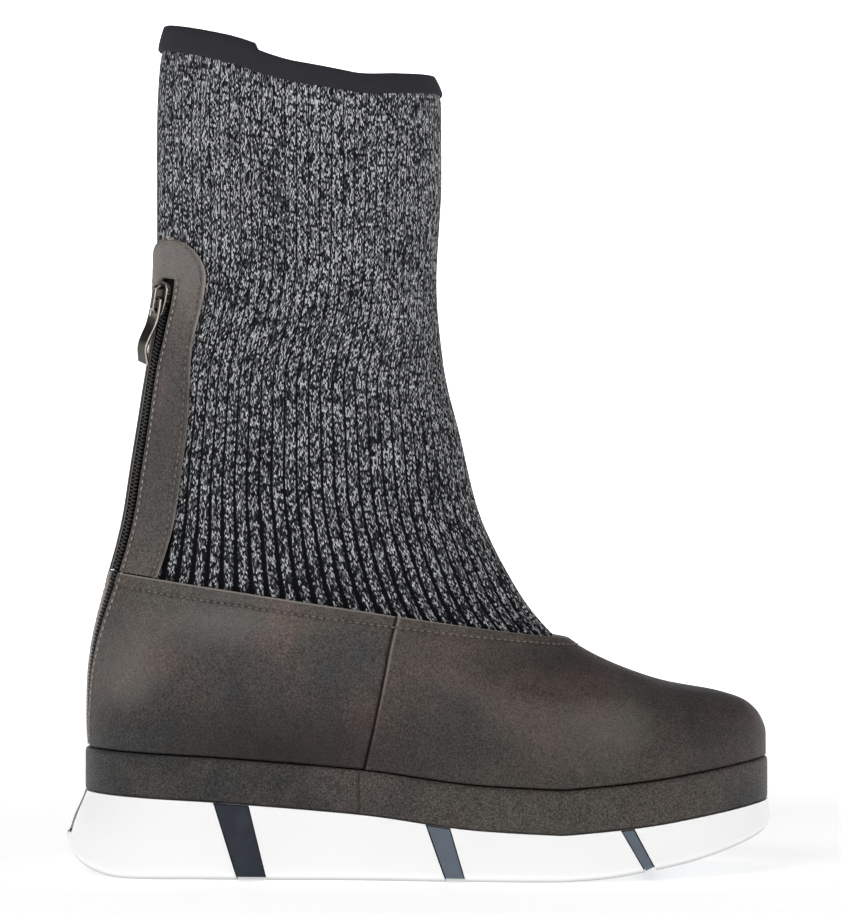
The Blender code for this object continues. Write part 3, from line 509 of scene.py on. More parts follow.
def leather(name, tones, grain_mm, grain_depth, rough, low_shade=0.0, pore_share=0.1):
    """tones are five hex colours: plum, brown, olive, the grey of rubbed places, and a dark painted as shade
    low down.
    """
    plum, brown, olive, grey, dark = [linear(tone) for tone in tones]
    made, tree, shader = new_finish(name, IOR=1.5, Specular_IOR_Level=0.25)
    at = add(tree, "TexCoord").outputs["Object"]
    place = add(tree, "SeparateXYZ", [at])
    clouds = add(tree, "TexNoise", {"Vector": at, "Scale": 1000 / CLOUD_MM, "Detail": 3.0,
                                    "Distortion": 0.4})
    patches = add(tree, "TexNoise", {"Vector": at, "W": 3.0, "Scale": 1000 / PATCH_MM, "Detail": 2.0},
                  noise_dimensions="4D")
    mottle = add(tree, "TexNoise", {"Vector": at, "Scale": 1000 / MOTTLE_MM, "Detail": 6.0})
    dust = add(tree, "TexNoise", {"Vector": at, "Scale": 1000 / DUST_MM, "Detail": 2.0})
    grain = add(tree, "TexVoronoi", {"Vector": at, "Scale": 1000 / grain_mm}, feature="DISTANCE_TO_EDGE")
    pores = add(tree, "MapRange", {"Value": grain, "From Max": 0.2})

    hues = add(tree, "ValToRGB", [clouds])
    ramp = hues.color_ramp
    ramp.elements[0].position, ramp.elements[0].color = 0.36, plum
    ramp.elements[1].position, ramp.elements[1].color = 0.64, olive
    ramp.elements.new(0.5).color = brown
    from_vamp = add(tree, "Math", [place.outputs["X"], VAMP_X], operation="SUBTRACT")
    ends = add(tree, "Math", [from_vamp], operation="ABSOLUTE")
    worn_at = add(tree, "Math", [ends, 1.2, patches], operation="MULTIPLY_ADD")
    rubbed = add(tree, "MapRange", {"Value": worn_at, "From Min": 0.5, "From Max": 0.74})
    greyed = add(tree, "Mix", {0: rubbed, 6: hues, 7: grey}, data_type="RGBA")
    # Painted shade: lower down on the piece the colour is mixed towards the fifth, dark tone.
    low_down = add(tree, "Math", [patches, -0.03, place.outputs["Z"]], operation="MULTIPLY_ADD")
    painted_low_shade = add(tree, "MapRange", {"Value": low_down, "From Min": 0.035, "From Max": 0.115,
                                  "To Min": low_shade, "To Max": 0.0})
    darkened = add(tree, "Mix", {0: painted_low_shade, 6: greyed.outputs[2], 7: dark}, data_type="RGBA")

    usual = 0.5 * DUST_SHARE + 0.5 * MOTTLE_SHARE + 0.85 * pore_share
    darkest, palest = usual - SPECK_SPREAD, usual + SPECK_SPREAD
    fine_speck = add(tree, "Math", [dust, DUST_SHARE], operation="MULTIPLY")
    speck = add(tree, "Math", [mottle, MOTTLE_SHARE, fine_speck], operation="MULTIPLY_ADD")
    speck = add(tree, "Math", [pores, pore_share, speck], operation="MULTIPLY_ADD")
    soft = add(tree, "MapRange", {"Value": speck, "From Min": darkest, "From Max": palest,
                                  "To Min": 0.4, "To Max": 1.6})
    shade = add(tree, "Mix", {0: 1.0, 6: darkened.outputs[2], 7: soft}, data_type="RGBA",
                blend_type="MULTIPLY")
    wear_and_painted_light = add(tree, "Attribute", attribute_name="wear_and_painted_light").outputs["Fac"]
    # Painted shade: below 0 the attribute mixes the colour towards near black, in creases, grooves and dark
    # patches.
    dark_and_shade_share = add(tree, "MapRange", {"Value": wear_and_painted_light, "From Min": 0.0, "From Max": -1.0, "To Max": 0.9})
    darkened_and_shaded = add(tree, "Mix", {0: dark_and_shade_share, 6: shade.outputs[2], 7: linear("#171412")}, data_type="RGBA")
    # Above 0 it mixes towards pale grey: cut edges, rubs, and painted highlights on the seam's lip and the
    # heel.
    pale_and_highlight_share = add(tree, "MapRange", {"Value": wear_and_painted_light, "To Max": 0.85})
    pale = add(tree, "Mix", {0: pale_and_highlight_share, 6: darkened_and_shaded.outputs[2], 7: linear("#a49c95")}, data_type="RGBA")
    join(tree, pale.outputs[2], shader, "Base Color")
    dull = add(tree, "MapRange", {"Value": speck, "From Min": darkest, "From Max": palest,
                                  "To Min": rough + 0.1, "To Max": rough - 0.06})
    join(tree, dull.outputs["Result"], shader, "Roughness")
    bump = add(tree, "Bump", {"Height": pores, "Strength": 0.5, "Distance": grain_depth * MM})
    folds = add(tree, "Bump", {"Height": mottle, "Strength": 0.4, "Distance": 0.25 * MM, "Normal": bump})
    join(tree, folds.outputs["Normal"], shader, "Normal")
    return made


# The foot: hand-rubbed wax leaves it brown and plum over the vamp, greyer and darker at heel and toe;
# painted shade darkens it further towards the bottom.
waxed = leather("waxed_cow_leather", ("#695955", "#5e544d", "#56534c", "#4c4b4a", "#1d1b1a"),
                grain_mm=0.7, grain_depth=0.12, rough=0.48, low_shade=0.5)
# The platform: a pebbled hide, pressed with a coarser grain that still shows from a step away.
grained = leather("grained_platform_leather", ("#5a514e", "#534c47", "#524e48", "#3c3b3a", "#312e2b"),
                  grain_mm=0.85, grain_depth=0.7, rough=0.42, pore_share=0.17)
# The facing: the same hide as the foot, paler towards the arch.
facing_hide = leather("waxed_facing_leather", ("#685a57", "#5c544f", "#55524b", "#4f4c4b", "#3a3633"),
                      grain_mm=0.7, grain_depth=0.12, rough=0.5)

# Cut edges of vegetable-tanned hide: pale, fibrous and dull.
cut_edge = two_tone("raw_leather_edge", "#8a817b", "#bab2ab", 1.2, 3.0, Roughness=0.8)[0]

# %% [markdown]
# ## The leather foot
#
# Two quarters wrap the heel and a vamp covers the toes. They meet at a closed seam on each side: the
# vamp's edge is turned over, so it stands up as a soft lip beside a narrow crease. Columns of the grid
# are crowded there so that lip and crease are real shapes.

# %% Upper
STITCH_DROP = 5.0
SEAM_LIP = 0.6
SEAM_ROLL = 0.4
SEAM_CREASE = 0.8
HEM_RISE = 0.25
THREAD_SINK = 0.35
BROAD_SWELL = 0.28
SMALL_SWELL = 0.1
seam_steps = np.array([-7.0, -4.0, -2.4, -1.5, -1.0, -0.7, -0.45, -0.2, 0.0, 0.3, 0.7, 1.3, 2.2, 3.6, 6.0])
EDGE_DROPS = (7.0, 6.2, 5.7, 5.3, 5.0, 4.7, 4.3, 3.6, 2.4, 1.2, 0.7, 0.35, 0.0)
# Spots painted paler or darker on the foot: the pale one at the heel is a painted highlight, the dark one at
# the toe painted shade, and the others vary the leather's tone. Each row: where along and up the foot, how
# long, how high, and how much.
RUBS_AND_PAINTED_LIGHT = [(-109.0, 75.0, 14.0, 18.0, 0.26), (-50.0, 46.0, 52.0, 19.0, -0.85), (-75.0, 96.0, 24.0, 9.0, 0.2),
          (74.0, 58.0, 26.0, 13.0, 0.2), (30.0, 56.0, 20.0, 20.0, 0.08), (112.0, 56.0, 22.0, 24.0, -0.4),
          (64.0, 80.0, 32.0, 9.0, -0.5), (20.0, 76.0, 24.0, 12.0, 0.08)]


def levels_below(turns, drop=None, share=None):
    """Levels at a drop in millimetres below the throat's edge, or at a share of the height below that."""
    rate = np.linalg.norm(skin(THROAT_LEVEL, turns) - skin(THROAT_LEVEL - 1.0, turns), axis=-1)
    if drop is not None:
        return THROAT_LEVEL - drop / rate
    return share * (THROAT_LEVEL - EDGE_DROPS[0] / rate)


def seam_at(level):
    return HEEL_X + SOLE_LENGTH * mix(SEAM_FOOT_X, SEAM_THROAT_X, level / THROAT_LEVEL)


places, wear_and_painted_light = [], []
for n, drop in [(n, None) for n in range(44)] + [(44, drop) for drop in EDGE_DROPS]:
    known = {"drop": drop} if drop is not None else {"share": n / 44}
    low_seam = float(levels_below(1.2, **known))
    low_end = float(levels_below(0.2, **known))
    near = np.array([turn_at_x(low_seam, seam_at(low_seam) + d) for d in seam_steps])
    outer = turns_at(low_end, zip_arc(low_end) + SLOT_HALF)
    inner = turns_at(low_end, zip_arc(low_end) - SLOT_HALF) + 2 * math.pi
    turns = np.concatenate((
        np.linspace(outer, near[0], 34, endpoint=False), near,
        np.linspace(near[-1], 2 * math.pi - near[-1], 82)[1:-1],
        2 * math.pi - near[::-1], np.linspace(2 * math.pi - near[0], inner, 35)[1:]))
    level = levels_below(turns, **known)
    d = skin(level, turns)[:, 0] - seam_at(level)
    below = drop if drop is not None else 9.0
    lip = SEAM_LIP * smooth((d + 0.3) / 0.6) + SEAM_ROLL * np.exp(-(((d - 0.7) / 0.8) ** 2))
    crease = -SEAM_CREASE * np.exp(-(((d + 0.45) / 0.4) ** 2)) - 0.25 * np.exp(-(((d + 1.6) / 1.3) ** 2))
    hem = HEM_RISE * float(smooth((STITCH_DROP + 0.3 - below) / 0.6))
    sewn_in = THREAD_SINK * math.exp(-(((below - STITCH_DROP) / 0.5) ** 2))
    rounded = -0.5 * (1 - below / 0.7) ** 2 if below < 0.7 else 0.0
    points = wrap(level, turns, lip + crease + (hem - sewn_in) + rounded)
    for c, place in enumerate(points):
        at = Vector(place)
        swell = noise.noise(at / 0.03) * BROAD_SWELL
        swell += noise.noise(at / 0.011 + Vector((5.0, 0.0, 0.0))) * SMALL_SWELL
        away = Vector((0.0, math.copysign(1.0, at.y), 0.3)).normalized()
        points[c] = at + away * swell * MM
    # Painted highlight along the seam's lip; the pale top row is the leather's cut edge.
    pale = 0.55 * np.exp(-(((d - 0.35) / 0.55) ** 2)) + (1.0 if below < 0.5 else 0.0)
    # Painted shade in the seam's crease, and a darker line along the stitch row.
    dark = np.exp(-(((d + 0.45) / 0.45) ** 2)) + 0.45 * math.exp(-(((below - STITCH_DROP) / 0.45) ** 2))
    for x, z, long, high, amount in RUBS_AND_PAINTED_LIGHT:
        near_x, near_z = (points[:, 0] / MM - x) / long, (points[:, 2] / MM - z) / high
        pale = pale + amount * np.exp(-(near_x**2) - near_z**2)
    places.append(points)
    wear_and_painted_light.append(pale - dark)
upper_bm = lay_grid(np.array(places), shares=np.array(wear_and_painted_light))
upper = finish_piece("leather_upper", upper_bm, waxed, ["upper"], rim=cut_edge)
give_wall(upper, LEATHER_WALL, 1)

# %% [markdown]
# ## Marled rib knit
#
# The leg is knitted from a yarn of one black and one pale strand twisted together, so each stitch comes
# out black, grey or near white by chance. The knit is ribbed: pairs of stitch columns stand up, and
# plain ones lie back between them, painted near black as painted shade. Near the foot the knit is
# stretched and the dark columns open; higher up they close. The ribs are real relief, and the stitches
# are drawn by the material in the rib's own UV map: u counts ribs and v runs up the knit in millimetres.

# %% The stitch pattern as a material
RIBS = 62
WALES = 5
COURSE_MM = 0.95


def knit_finish():
    """Stitches in the rib's own map: u counts ribs and v is in millimetres. Their legs slant in pairs."""
    made, tree, shader = new_finish("marled_rib_knit", Roughness=0.95, Specular_IOR_Level=0.15)
    uv = add(tree, "UVMap", uv_map="UVMap").outputs["UV"]
    split = add(tree, "SeparateXYZ", [uv])
    u, v = split.outputs["X"], split.outputs["Y"]
    open_share = add(tree, "Attribute", attribute_name="groove").outputs["Fac"]

    rib = add(tree, "Math", [u], operation="FRACT")
    from_groove = add(tree, "Math", [rib, 0.5], operation="PINGPONG")
    wobble = add(tree, "TexNoise", {"Vector": uv, "Scale": 0.8, "Detail": 2.0})
    ragged = add(tree, "Math", [wobble, 0.6, -0.3], operation="MULTIPLY_ADD")
    ragged = add(tree, "Math", [ragged, open_share, from_groove], operation="MULTIPLY_ADD")
    past_edge = add(tree, "Math", [open_share, -0.5, ragged], operation="MULTIPLY_ADD")
    on_rib = add(tree, "MapRange", {"Value": past_edge, "From Min": -0.02, "From Max": 0.03})

    wale = add(tree, "Math", [u, float(WALES), 0.5], operation="MULTIPLY_ADD")
    inside = add(tree, "Math", [wale], operation="FRACT")
    tilt = add(tree, "Math", [inside, 0.5], operation="PINGPONG")
    slant = add(tree, "Math", [tilt, 1.3], operation="MULTIPLY")
    lift = add(tree, "Math", [v, 1.0 / COURSE_MM, slant], operation="MULTIPLY_ADD")
    leg = add(tree, "Math", [wale, 2.0], operation="MULTIPLY")
    leg_id = add(tree, "Math", [leg], operation="FLOOR")
    row_id = add(tree, "Math", [lift], operation="FLOOR")
    stitch = add(tree, "CombineXYZ", [leg_id, row_id])
    chance = add(tree, "TexWhiteNoise", [stitch], noise_dimensions="2D")
    strand_at = add(tree, "VectorMath", [uv, (24.0, 2.4, 0.0)], operation="MULTIPLY")
    strand = add(tree, "TexNoise", {"Vector": strand_at, "Scale": 1.0, "Detail": 1.0})
    drift_at = add(tree, "VectorMath", [uv, (0.18, 0.09, 0.0)], operation="MULTIPLY")
    drift = add(tree, "TexNoise", {"Vector": drift_at, "Scale": 1.0, "Detail": 2.0})
    higher = add(tree, "MapRange", {"Value": v, "From Min": 60.0, "From Max": 230.0, "To Min": 0.03,
                                    "To Max": 0.068})
    pale = add(tree, "Math", [drift, 0.2, higher], operation="MULTIPLY_ADD")
    pale = add(tree, "Math", [strand, 0.5, pale], operation="MULTIPLY_ADD")
    pale = add(tree, "Math", [chance, 0.62, pale], operation="MULTIPLY_ADD")
    tones = add(tree, "ValToRGB", [pale])
    ramp = tones.color_ramp
    ramp.elements[0].position, ramp.elements[0].color = 0.59, linear("#121417")
    ramp.elements[1].position, ramp.elements[1].color = 1.0, linear("#dcdde0")
    ramp.elements.new(0.78).color = linear("#505256")

    leg_share = add(tree, "Math", [leg], operation="FRACT")
    row_share = add(tree, "Math", [lift], operation="FRACT")
    across = add(tree, "Math", [add(tree, "Math", [leg_share, math.pi], operation="MULTIPLY")],
                 operation="SINE")
    along = add(tree, "Math", [add(tree, "Math", [row_share, math.pi], operation="MULTIPLY")],
                operation="SINE")
    loop = add(tree, "Math", [across, along], operation="MULTIPLY")
    shadow = add(tree, "MapRange", {"Value": loop, "From Max": 0.4, "To Min": 0.3, "To Max": 1.0})
    lit = add(tree, "Mix", {0: 1.0, 6: tones, 7: shadow}, data_type="RGBA", blend_type="MULTIPLY")
    # Painted shade: the grooves between the ribs are painted near black.
    groove = add(tree, "Mix", {0: on_rib, 6: linear("#0c0d10"), 7: lit.outputs[2]}, data_type="RGBA")
    join(tree, groove.outputs[2], shader, "Base Color")
    bump = add(tree, "Bump", {"Height": loop, "Strength": 0.6, "Distance": 0.3 * MM})
    join(tree, bump.outputs["Normal"], shader, "Normal")
    return made


marled = knit_finish()

# %% The ribbed shaft
KNIT_UNDERLAP = 9.0
KNIT_HEIGHT = 230.0
GROOVE_OPEN = [(8.0, 0.41), (9.0, 0.36), (10.0, 0.29), (11.0, 0.21), (12.0, 0.16), (13.0, 0.14),
               (15.0, 0.10)]
GROOVE_DEPTH = [(8.0, 1.1), (10.0, 0.9), (11.5, 0.5), (13.0, 0.22), (15.0, 0.1)]
rib_phases = np.array([0.0, 0.13, 0.26, 0.5, 0.74, 0.87])
foot_level = level_of_height(skin(THROAT_LEVEL, 0.0)[2] - KNIT_UNDERLAP)
bridge_level = level_of_height(ZIP_TOP_HEIGHT + 2.0)
below_bridge = np.linspace(foot_level, bridge_level, 72)
knit_rows = np.concatenate((below_bridge, np.linspace(bridge_level, TOP_LEVEL, 30)[1:]))


def knit_lift(level):
    out_of_foot = np.clip(level - THROAT_LEVEL, 0.0, 1.0)
    return -KNIT_GAP - mix(LEATHER_WALL, FACING_WALL, out_of_foot)


def knit_patch(levels, ribs_at, start, end):
    """Places, UVs and groove widths of a patch between two distances from the zip's middle. v counts from
    the collar down, where the rows of stitches run level."""
    places, opened = [], []
    for level in levels:
        far = end if end > 0 and end < 100 else girth(level) + end
        share = (ribs_at - ribs_at[0]) / (ribs_at[-1] - ribs_at[0])
        arcs = zip_arc(level) + mix(start, far, share)
        arcs = np.where(arcs > girth(level) / 2, arcs - girth(level), arcs)
        turns = turns_at(level, arcs)
        t = (1 - np.cos(turns)) / 2
        open_share = float(follow(GROOVE_OPEN, level)) * mix(1.0, 0.72, smooth((t - 0.75) / 0.2))
        from_groove = np.abs((ribs_at + 0.5) % 1.0 - 0.5)
        low = 1 - smooth(from_groove / (open_share * 0.5 + 0.12))
        depth = float(follow(GROOVE_DEPTH, level))
        places.append(wrap(level, turns, knit_lift(level) + 0.15 - depth * low))
        opened.append(open_share)
    places, opened = np.array(places), np.array(opened)
    up = metres_along(places)
    marks = np.stack((np.broadcast_to(ribs_at, opened.shape), up - up[-1] + KNIT_HEIGHT), axis=-1)
    return places, marks, opened


half = TAPE_HALF + 1.0
round_ribs = np.concatenate((np.add.outer(np.arange(RIBS), rib_phases).ravel(), [RIBS]))
back_ribs = np.concatenate((np.add.outer(np.arange(4), rib_phases).ravel(), [4])) - 4.0
bm = lay_grid(*knit_patch(knit_rows, round_ribs, half, -half), share_name="groove")
lay_grid(*knit_patch(knit_rows[len(below_bridge) - 1 :], back_ribs, -half, half), bm=bm, share_name="groove")
bmesh.ops.remove_doubles(bm, verts=bm.verts, dist=0.02 * MM)
shaft = finish_piece("knit_shaft", bm, marled, ["shaft"], smooth_below=80.0)
give_wall(shaft, KNIT_WALL - 0.4)

# %% [markdown]
# ## Zip facing
#
# A strip of leather frames the zip: a leg on each side, joined by a round arch above the slider. It is
# one patch with a slot left open, laid on the same skin as the foot, so the two meet flush at the
# throat.

# %% Facing
FACING_STITCH_IN = 2.2
facing_foot = level_of_height(skin(THROAT_LEVEL, 0.0)[2] + 0.5)
arch_start = level_of_height(FACING_OUTER[-1][0])
arch_turns = np.radians([12.0, 24.0, 36.0, 47.0, 57.0, 66.0, 74.0, 81.0, 86.0])
leg_levels = np.linspace(facing_foot, SLOT_LEVEL, 90)
facing_levels = np.concatenate((leg_levels, [arch_start], mix(arch_start, ARCH_LEVEL, np.sin(arch_turns))))
facing_widths = np.concatenate((np.ones(len(leg_levels) + 1), np.cos(arch_turns) ** 0.85))
places, wear_and_painted_light = [], []
for n, (level, share) in enumerate(zip(facing_levels, facing_widths)):
    z = skin(level, 0.0)[2]
    outer, inner = float(follow(FACING_OUTER, z)) * share, float(follow(FACING_INNER, z)) * share
    slot = min(SLOT_HALF, outer * 0.4)
    steps = np.array([0.0, 0.03, 0.06, 0.09, 0.13, 0.25, 0.4, 0.55, 0.7, 0.8, 0.87, 0.91, 0.94, 0.97, 1.0])
    across = np.concatenate((mix(-inner, -slot, steps), mix(slot, outer, steps)))
    from_rim = np.abs(np.where(across > 0, outer, inner) - np.abs(across))
    on_leg = n < len(leg_levels)
    from_edge = np.minimum(from_rim, np.abs(np.abs(across) - slot)) if on_leg else from_rim
    stitched = np.exp(-(((from_edge - FACING_STITCH_IN) / 0.5) ** 2))
    at_edge = 1 - smooth(from_edge / 0.75)
    at_top = 1.0 if n == len(facing_levels) - 1 else 0.0
    places.append(on_zip(level, across, 0.15 - 0.5 * at_edge - 0.25 * stitched))
    # Paler near the top of the facing and darker around its middle.
    light = 0.3 * math.exp(-(((z - 232.0) / 22.0) ** 2)) - 0.25 * math.exp(-(((z - 168.0) / 26.0) ** 2))
    from_slot = np.hypot(np.maximum(np.abs(across) - slot, 0.0), max(0.0, z - ZIP_TOP_HEIGHT))
    scuff = 0.5 * np.array([max(0.0, noise.noise(Vector((x * 0.9, z * 0.7, 4.0)))) for x in across])
    light = light + scuff * np.exp(-((from_slot / 4.0) ** 2)) * smooth((z - 180.0) / 20.0)
    rub = 0.75 + 0.5 * noise.noise(Vector((0.0, z * 0.15, 7.0)))
    # Painted shadow: beside the slot the far leg's edge is painted dark.
    far_lip_shadow = (across < 0) & (np.abs(across) < slot + 0.8) & on_leg
    edge = np.where(far_lip_shadow, -0.7, rub * (1 - smooth((from_edge - 0.2) / 0.5)))
    wear_and_painted_light.append(edge + at_top * 0.6 + light - 0.35 * stitched)
leg_rows = len(leg_levels) - 1
bm = lay_grid(np.array(places), shares=np.array(wear_and_painted_light), gap=lambda r, c: r < leg_rows and c == 14)
facing = finish_piece("leather_zip_facing", bm, facing_hide, ["zip_facing"], rim=cut_edge)
give_wall(facing, FACING_WALL, 1)

# %% [markdown]
# ## The zip
#
# Two woven tapes carry a nylon coil: a row of small loops on each tape that hook between one another.
# Each loop is one small rounded bar, repeated from the platform to the slider, half a step out of line
# on the other side.

# %% Woven tape and coil finishes
def woven(name, dark, light, thread_mm, rough):
    """Cloth tape: rows of threads one way crossed by rows the other way, in the piece's own UV map."""
    made, tree, shader = new_finish(name, Roughness=rough, Specular_IOR_Level=0.2)
    uv = add(tree, "UVMap", uv_map="UVMap").outputs["UV"]
    threads = add(tree, "VectorMath", {0: uv, 3: math.pi / thread_mm}, operation="SCALE")
    waves = add(tree, "VectorMath", [threads], operation="SINE")
    wave = add(tree, "SeparateXYZ", [waves])
    cross = add(tree, "Math", [wave.outputs["X"], wave.outputs["Y"]], operation="MULTIPLY")
    fuzz = add(tree, "TexNoise", {"Vector": uv, "Scale": 1.3, "Detail": 4.0})
    fuzzy = add(tree, "Math", [fuzz, 0.5, 0.3], operation="MULTIPLY_ADD")
    mixed = add(tree, "Math", [cross, 0.3, fuzzy], operation="MULTIPLY_ADD")
    tones = add(tree, "ValToRGB", [mixed])
    tones.color_ramp.elements[0].position, tones.color_ramp.elements[0].color = 0.25, linear(dark)
    tones.color_ramp.elements[1].position, tones.color_ramp.elements[1].color = 0.85, linear(light)
    join(tree, tones.outputs["Color"], shader, "Base Color")
    bump = add(tree, "Bump", {"Height": mixed, "Strength": 0.5, "Distance": 0.2 * MM})
    join(tree, bump.outputs["Normal"], shader, "Normal")
    return made


# The zip's tape is smooth black polyester, and the collar's is a softer charcoal elastic.
zip_cloth = woven("woven_polyester_tape", "#121114", "#2c2a2c", 0.6, 0.85)
collar_cloth = woven("elastic_twill_tape", "#1b1a1f", "#35343a", 0.55, 0.9)
# Nylon wound into a coil and dyed black: smooth, so that each loop catches a small light.
nylon = two_tone("moulded_nylon_coil", "#0f0e10", "#262422", 2.0, 2.0, Roughness=0.42, IOR=1.53,
                 Specular_IOR_Level=0.35)[0]

# %% Tapes
UNDER_LEATHER = -LEATHER_WALL - KNIT_GAP
ZIP_START_LEVEL = 0.12
tape_levels = np.linspace(ZIP_START_LEVEL, SLOT_LEVEL, 60)
for name, side in (("zip_tape_near", 1), ("zip_tape_far", -1)):
    across = np.linspace(0.15, TAPE_HALF, 5) * side
    if side < 0:
        across = across[::-1]
    places = np.array([on_zip(level, across, UNDER_LEATHER) for level in tape_levels])
    marks = np.stack((np.broadcast_to(across, places.shape[:2]), metres_along(places)), axis=-1)
    node = "zip_tape_outer" if side > 0 else "zip_tape_inner"
    give_wall(finish_piece(name, lay_grid(places, marks), zip_cloth, [node]), TAPE_THICK)


# %% Coil
def zip_axes(level):
    """The middle of the zip at a level, and the directions across it, up it and out of it."""
    middle = Vector(on_zip(level, 0.0, 0.0))
    up = (Vector(on_zip(level + 0.1, 0.0, 0.0)) - Vector(on_zip(level - 0.1, 0.0, 0.0))).normalized()
    side = (Vector(on_zip(level, 2.0, 0.0)) - Vector(on_zip(level, -2.0, 0.0))).normalized()
    out = side.cross(up).normalized()
    if out.x > 0:
        out = -out
    return middle, up, up.cross(out).normalized(), out


def frame_at(middle, side, up, out, size):
    """A matrix that carries a unit shape to a place, turned and scaled, sizes in millimetres."""
    grown = [axis * s * MM for axis, s in zip((side, up, out), size)]
    return Matrix.Translation(middle) @ Matrix(grown).transposed().to_4x4()


TOOTH_PITCH = 1.45
TOOTH_SIZE = (1.6, 0.6, 0.9)
TOOTH_OFF = 0.95
COIL_BELOW_TOP = 10.0
coil_top = level_of_height(ZIP_TOP_HEIGHT - COIL_BELOW_TOP)
fine = np.linspace(ZIP_START_LEVEL, coil_top, 400)
line = np.array([on_zip(level, 0.0, -0.9) for level in fine])
run = np.concatenate(([0.0], np.cumsum(np.linalg.norm(np.diff(line, axis=0), axis=1)))) / MM
bm = bmesh.new()
for k in range(int(run[-1] / TOOTH_PITCH)):
    for half_step, side_sign in ((0.0, 1), (0.5, -1)):
        level = float(np.interp((k + half_step) * TOOTH_PITCH, run, fine))
        _, up, side, out = zip_axes(level)
        at = Vector(on_zip(level, side_sign * TOOTH_OFF, -1.15))
        tilt = (up + side * 0.12 * side_sign).normalized()
        bmesh.ops.create_uvsphere(bm, u_segments=8, v_segments=5, radius=1.0,
                                  matrix=frame_at(at, side, tilt, out, TOOTH_SIZE))
finish_piece("zip_coil", bm, nylon, ["zip_teeth"])

# %% [markdown]
# ## Slider and pull
#
# Both are cast zinc with a gunmetal plating: dark, with bright lines where the edges catch the light.
# So each gets real rounded edges from a bevel, painted with a paler metal as a painted highlight, and the
# pull rides on the body that swings.

# %% Gunmetal
# Gunmetal plating: a dark mirror, clouded by handling, so that its flat faces stay nearly black.
gunmetal, metal_tree, metal_shader, _, metal_noise, _ = two_tone(
    "plated_gunmetal", "#34312e", "#4a4743", 3.0, 3.0, Metallic=1.0)
metal_rough = add(metal_tree, "MapRange", {"Value": metal_noise, "To Min": 0.24, "To Max": 0.4})
join(metal_tree, metal_rough.outputs["Result"], metal_shader, "Roughness")
# Painted highlight: the rounded edges get a paler, brighter metal for the light that they catch.
edge_highlight_metal = two_tone("painted_highlight_zinc_edge", "#8d8680", "#c9c2bb", 2.0, 3.0, Metallic=1.0, Roughness=0.2)[0]

SLIDER_LENGTH = 13.5
SLIDER_WIDTH = 8.2
SLIDER_THICK = 2.0
SLIDER_LIFT = 0.55
BRIDGE_RISE = 3.1
BRIDGE_THICK = 1.0
BRIDGE_WIDTH = 2.4
PULL_LENGTH = 26.0
PULL_WIDTH = 6.8
PULL_THICK = 1.2
PULL_KICK = 3.4
HOLE_ROOM = 0.6
EDGE_ROUND = 0.35
PULL_ROUND = 0.42
PULL_RISE = [(0.27, 0.0), (0.42, 0.2), (0.58, 0.62), (0.74, 0.88), (1.0, 0.35)]
PULL_FORM = [(0.0, 0.9), (0.1, 1.0), (0.3, 1.0), (0.5, 0.86), (0.7, 0.86), (1.0, 1.0)]
zip_middle, zip_up, zip_side, zip_out = zip_axes(level_of_height(ZIP_TOP_HEIGHT - 1.0 - SLIDER_LENGTH / 2))


def plate(bm, corners, thick, axes, shift):
    """Extrudes a flat outline drawn in two of the zip's directions, then rounds its edges."""
    first, second, through = axes
    drawn = [(first * x + second * y - through * thick / 2) * MM for x, y in corners]
    face = bm.faces.new([bm.verts.new(place) for place in drawn])
    grown = bmesh.ops.extrude_face_region(bm, geom=[face])["geom"]
    lifted = [g for g in grown if isinstance(g, bmesh.types.BMVert)]
    bmesh.ops.translate(bm, vec=through * thick * MM, verts=lifted)
    body = once(list(face.verts) + lifted)
    edges = once(e for v in body for e in v.link_edges)
    made = bmesh.ops.bevel(bm, geom=edges, offset=EDGE_ROUND * MM, segments=3, affect="EDGES",
                           profile=0.5, material=-1, clamp_overlap=True)
    for rounded in made["faces"]:
        rounded.material_index = 1
    verts = once([v for f in made["faces"] for v in f.verts] + [v for v in body if v.is_valid])
    bmesh.ops.translate(bm, vec=zip_middle + shift * MM, verts=verts)
    return bm


# %% Slider
half, length = SLIDER_WIDTH / 2, SLIDER_LENGTH / 2
outline_turns = np.linspace(0.0, 2 * math.pi, 28, endpoint=False)
body_outline = []
for a in outline_turns:
    y = length * math.copysign(abs(math.sin(a)) ** 0.55, math.sin(a))
    neck = mix(0.72, 1.0, float(smooth((y / length + 1) / 1.3)))
    body_outline.append((half * neck * math.copysign(abs(math.cos(a)) ** 0.55, math.cos(a)), y))
bm = bmesh.new()
plate(bm, body_outline, SLIDER_THICK, (zip_side, zip_up, zip_out),
      zip_out * (SLIDER_LIFT + SLIDER_THICK / 2))
foot, shoulder, inner = length * 0.82, length * 0.62, length * 0.55
under = BRIDGE_RISE - BRIDGE_THICK
arch = [(-foot, -0.4), (-foot, under * 0.7), (-shoulder, BRIDGE_RISE), (shoulder, BRIDGE_RISE),
        (foot, under * 0.7), (foot, -0.4), (inner, -0.4), (inner, under), (-inner, under), (-inner, -0.4)]
plate(bm, arch, BRIDGE_WIDTH, (zip_up, zip_out, zip_side), zip_out * (SLIDER_LIFT + SLIDER_THICK))
bmesh.ops.recalc_face_normals(bm, faces=bm.faces)
finish_piece("zip_slider_body", bm, gunmetal, ["zip_slider"], smooth_below=40.0, rim=edge_highlight_metal)

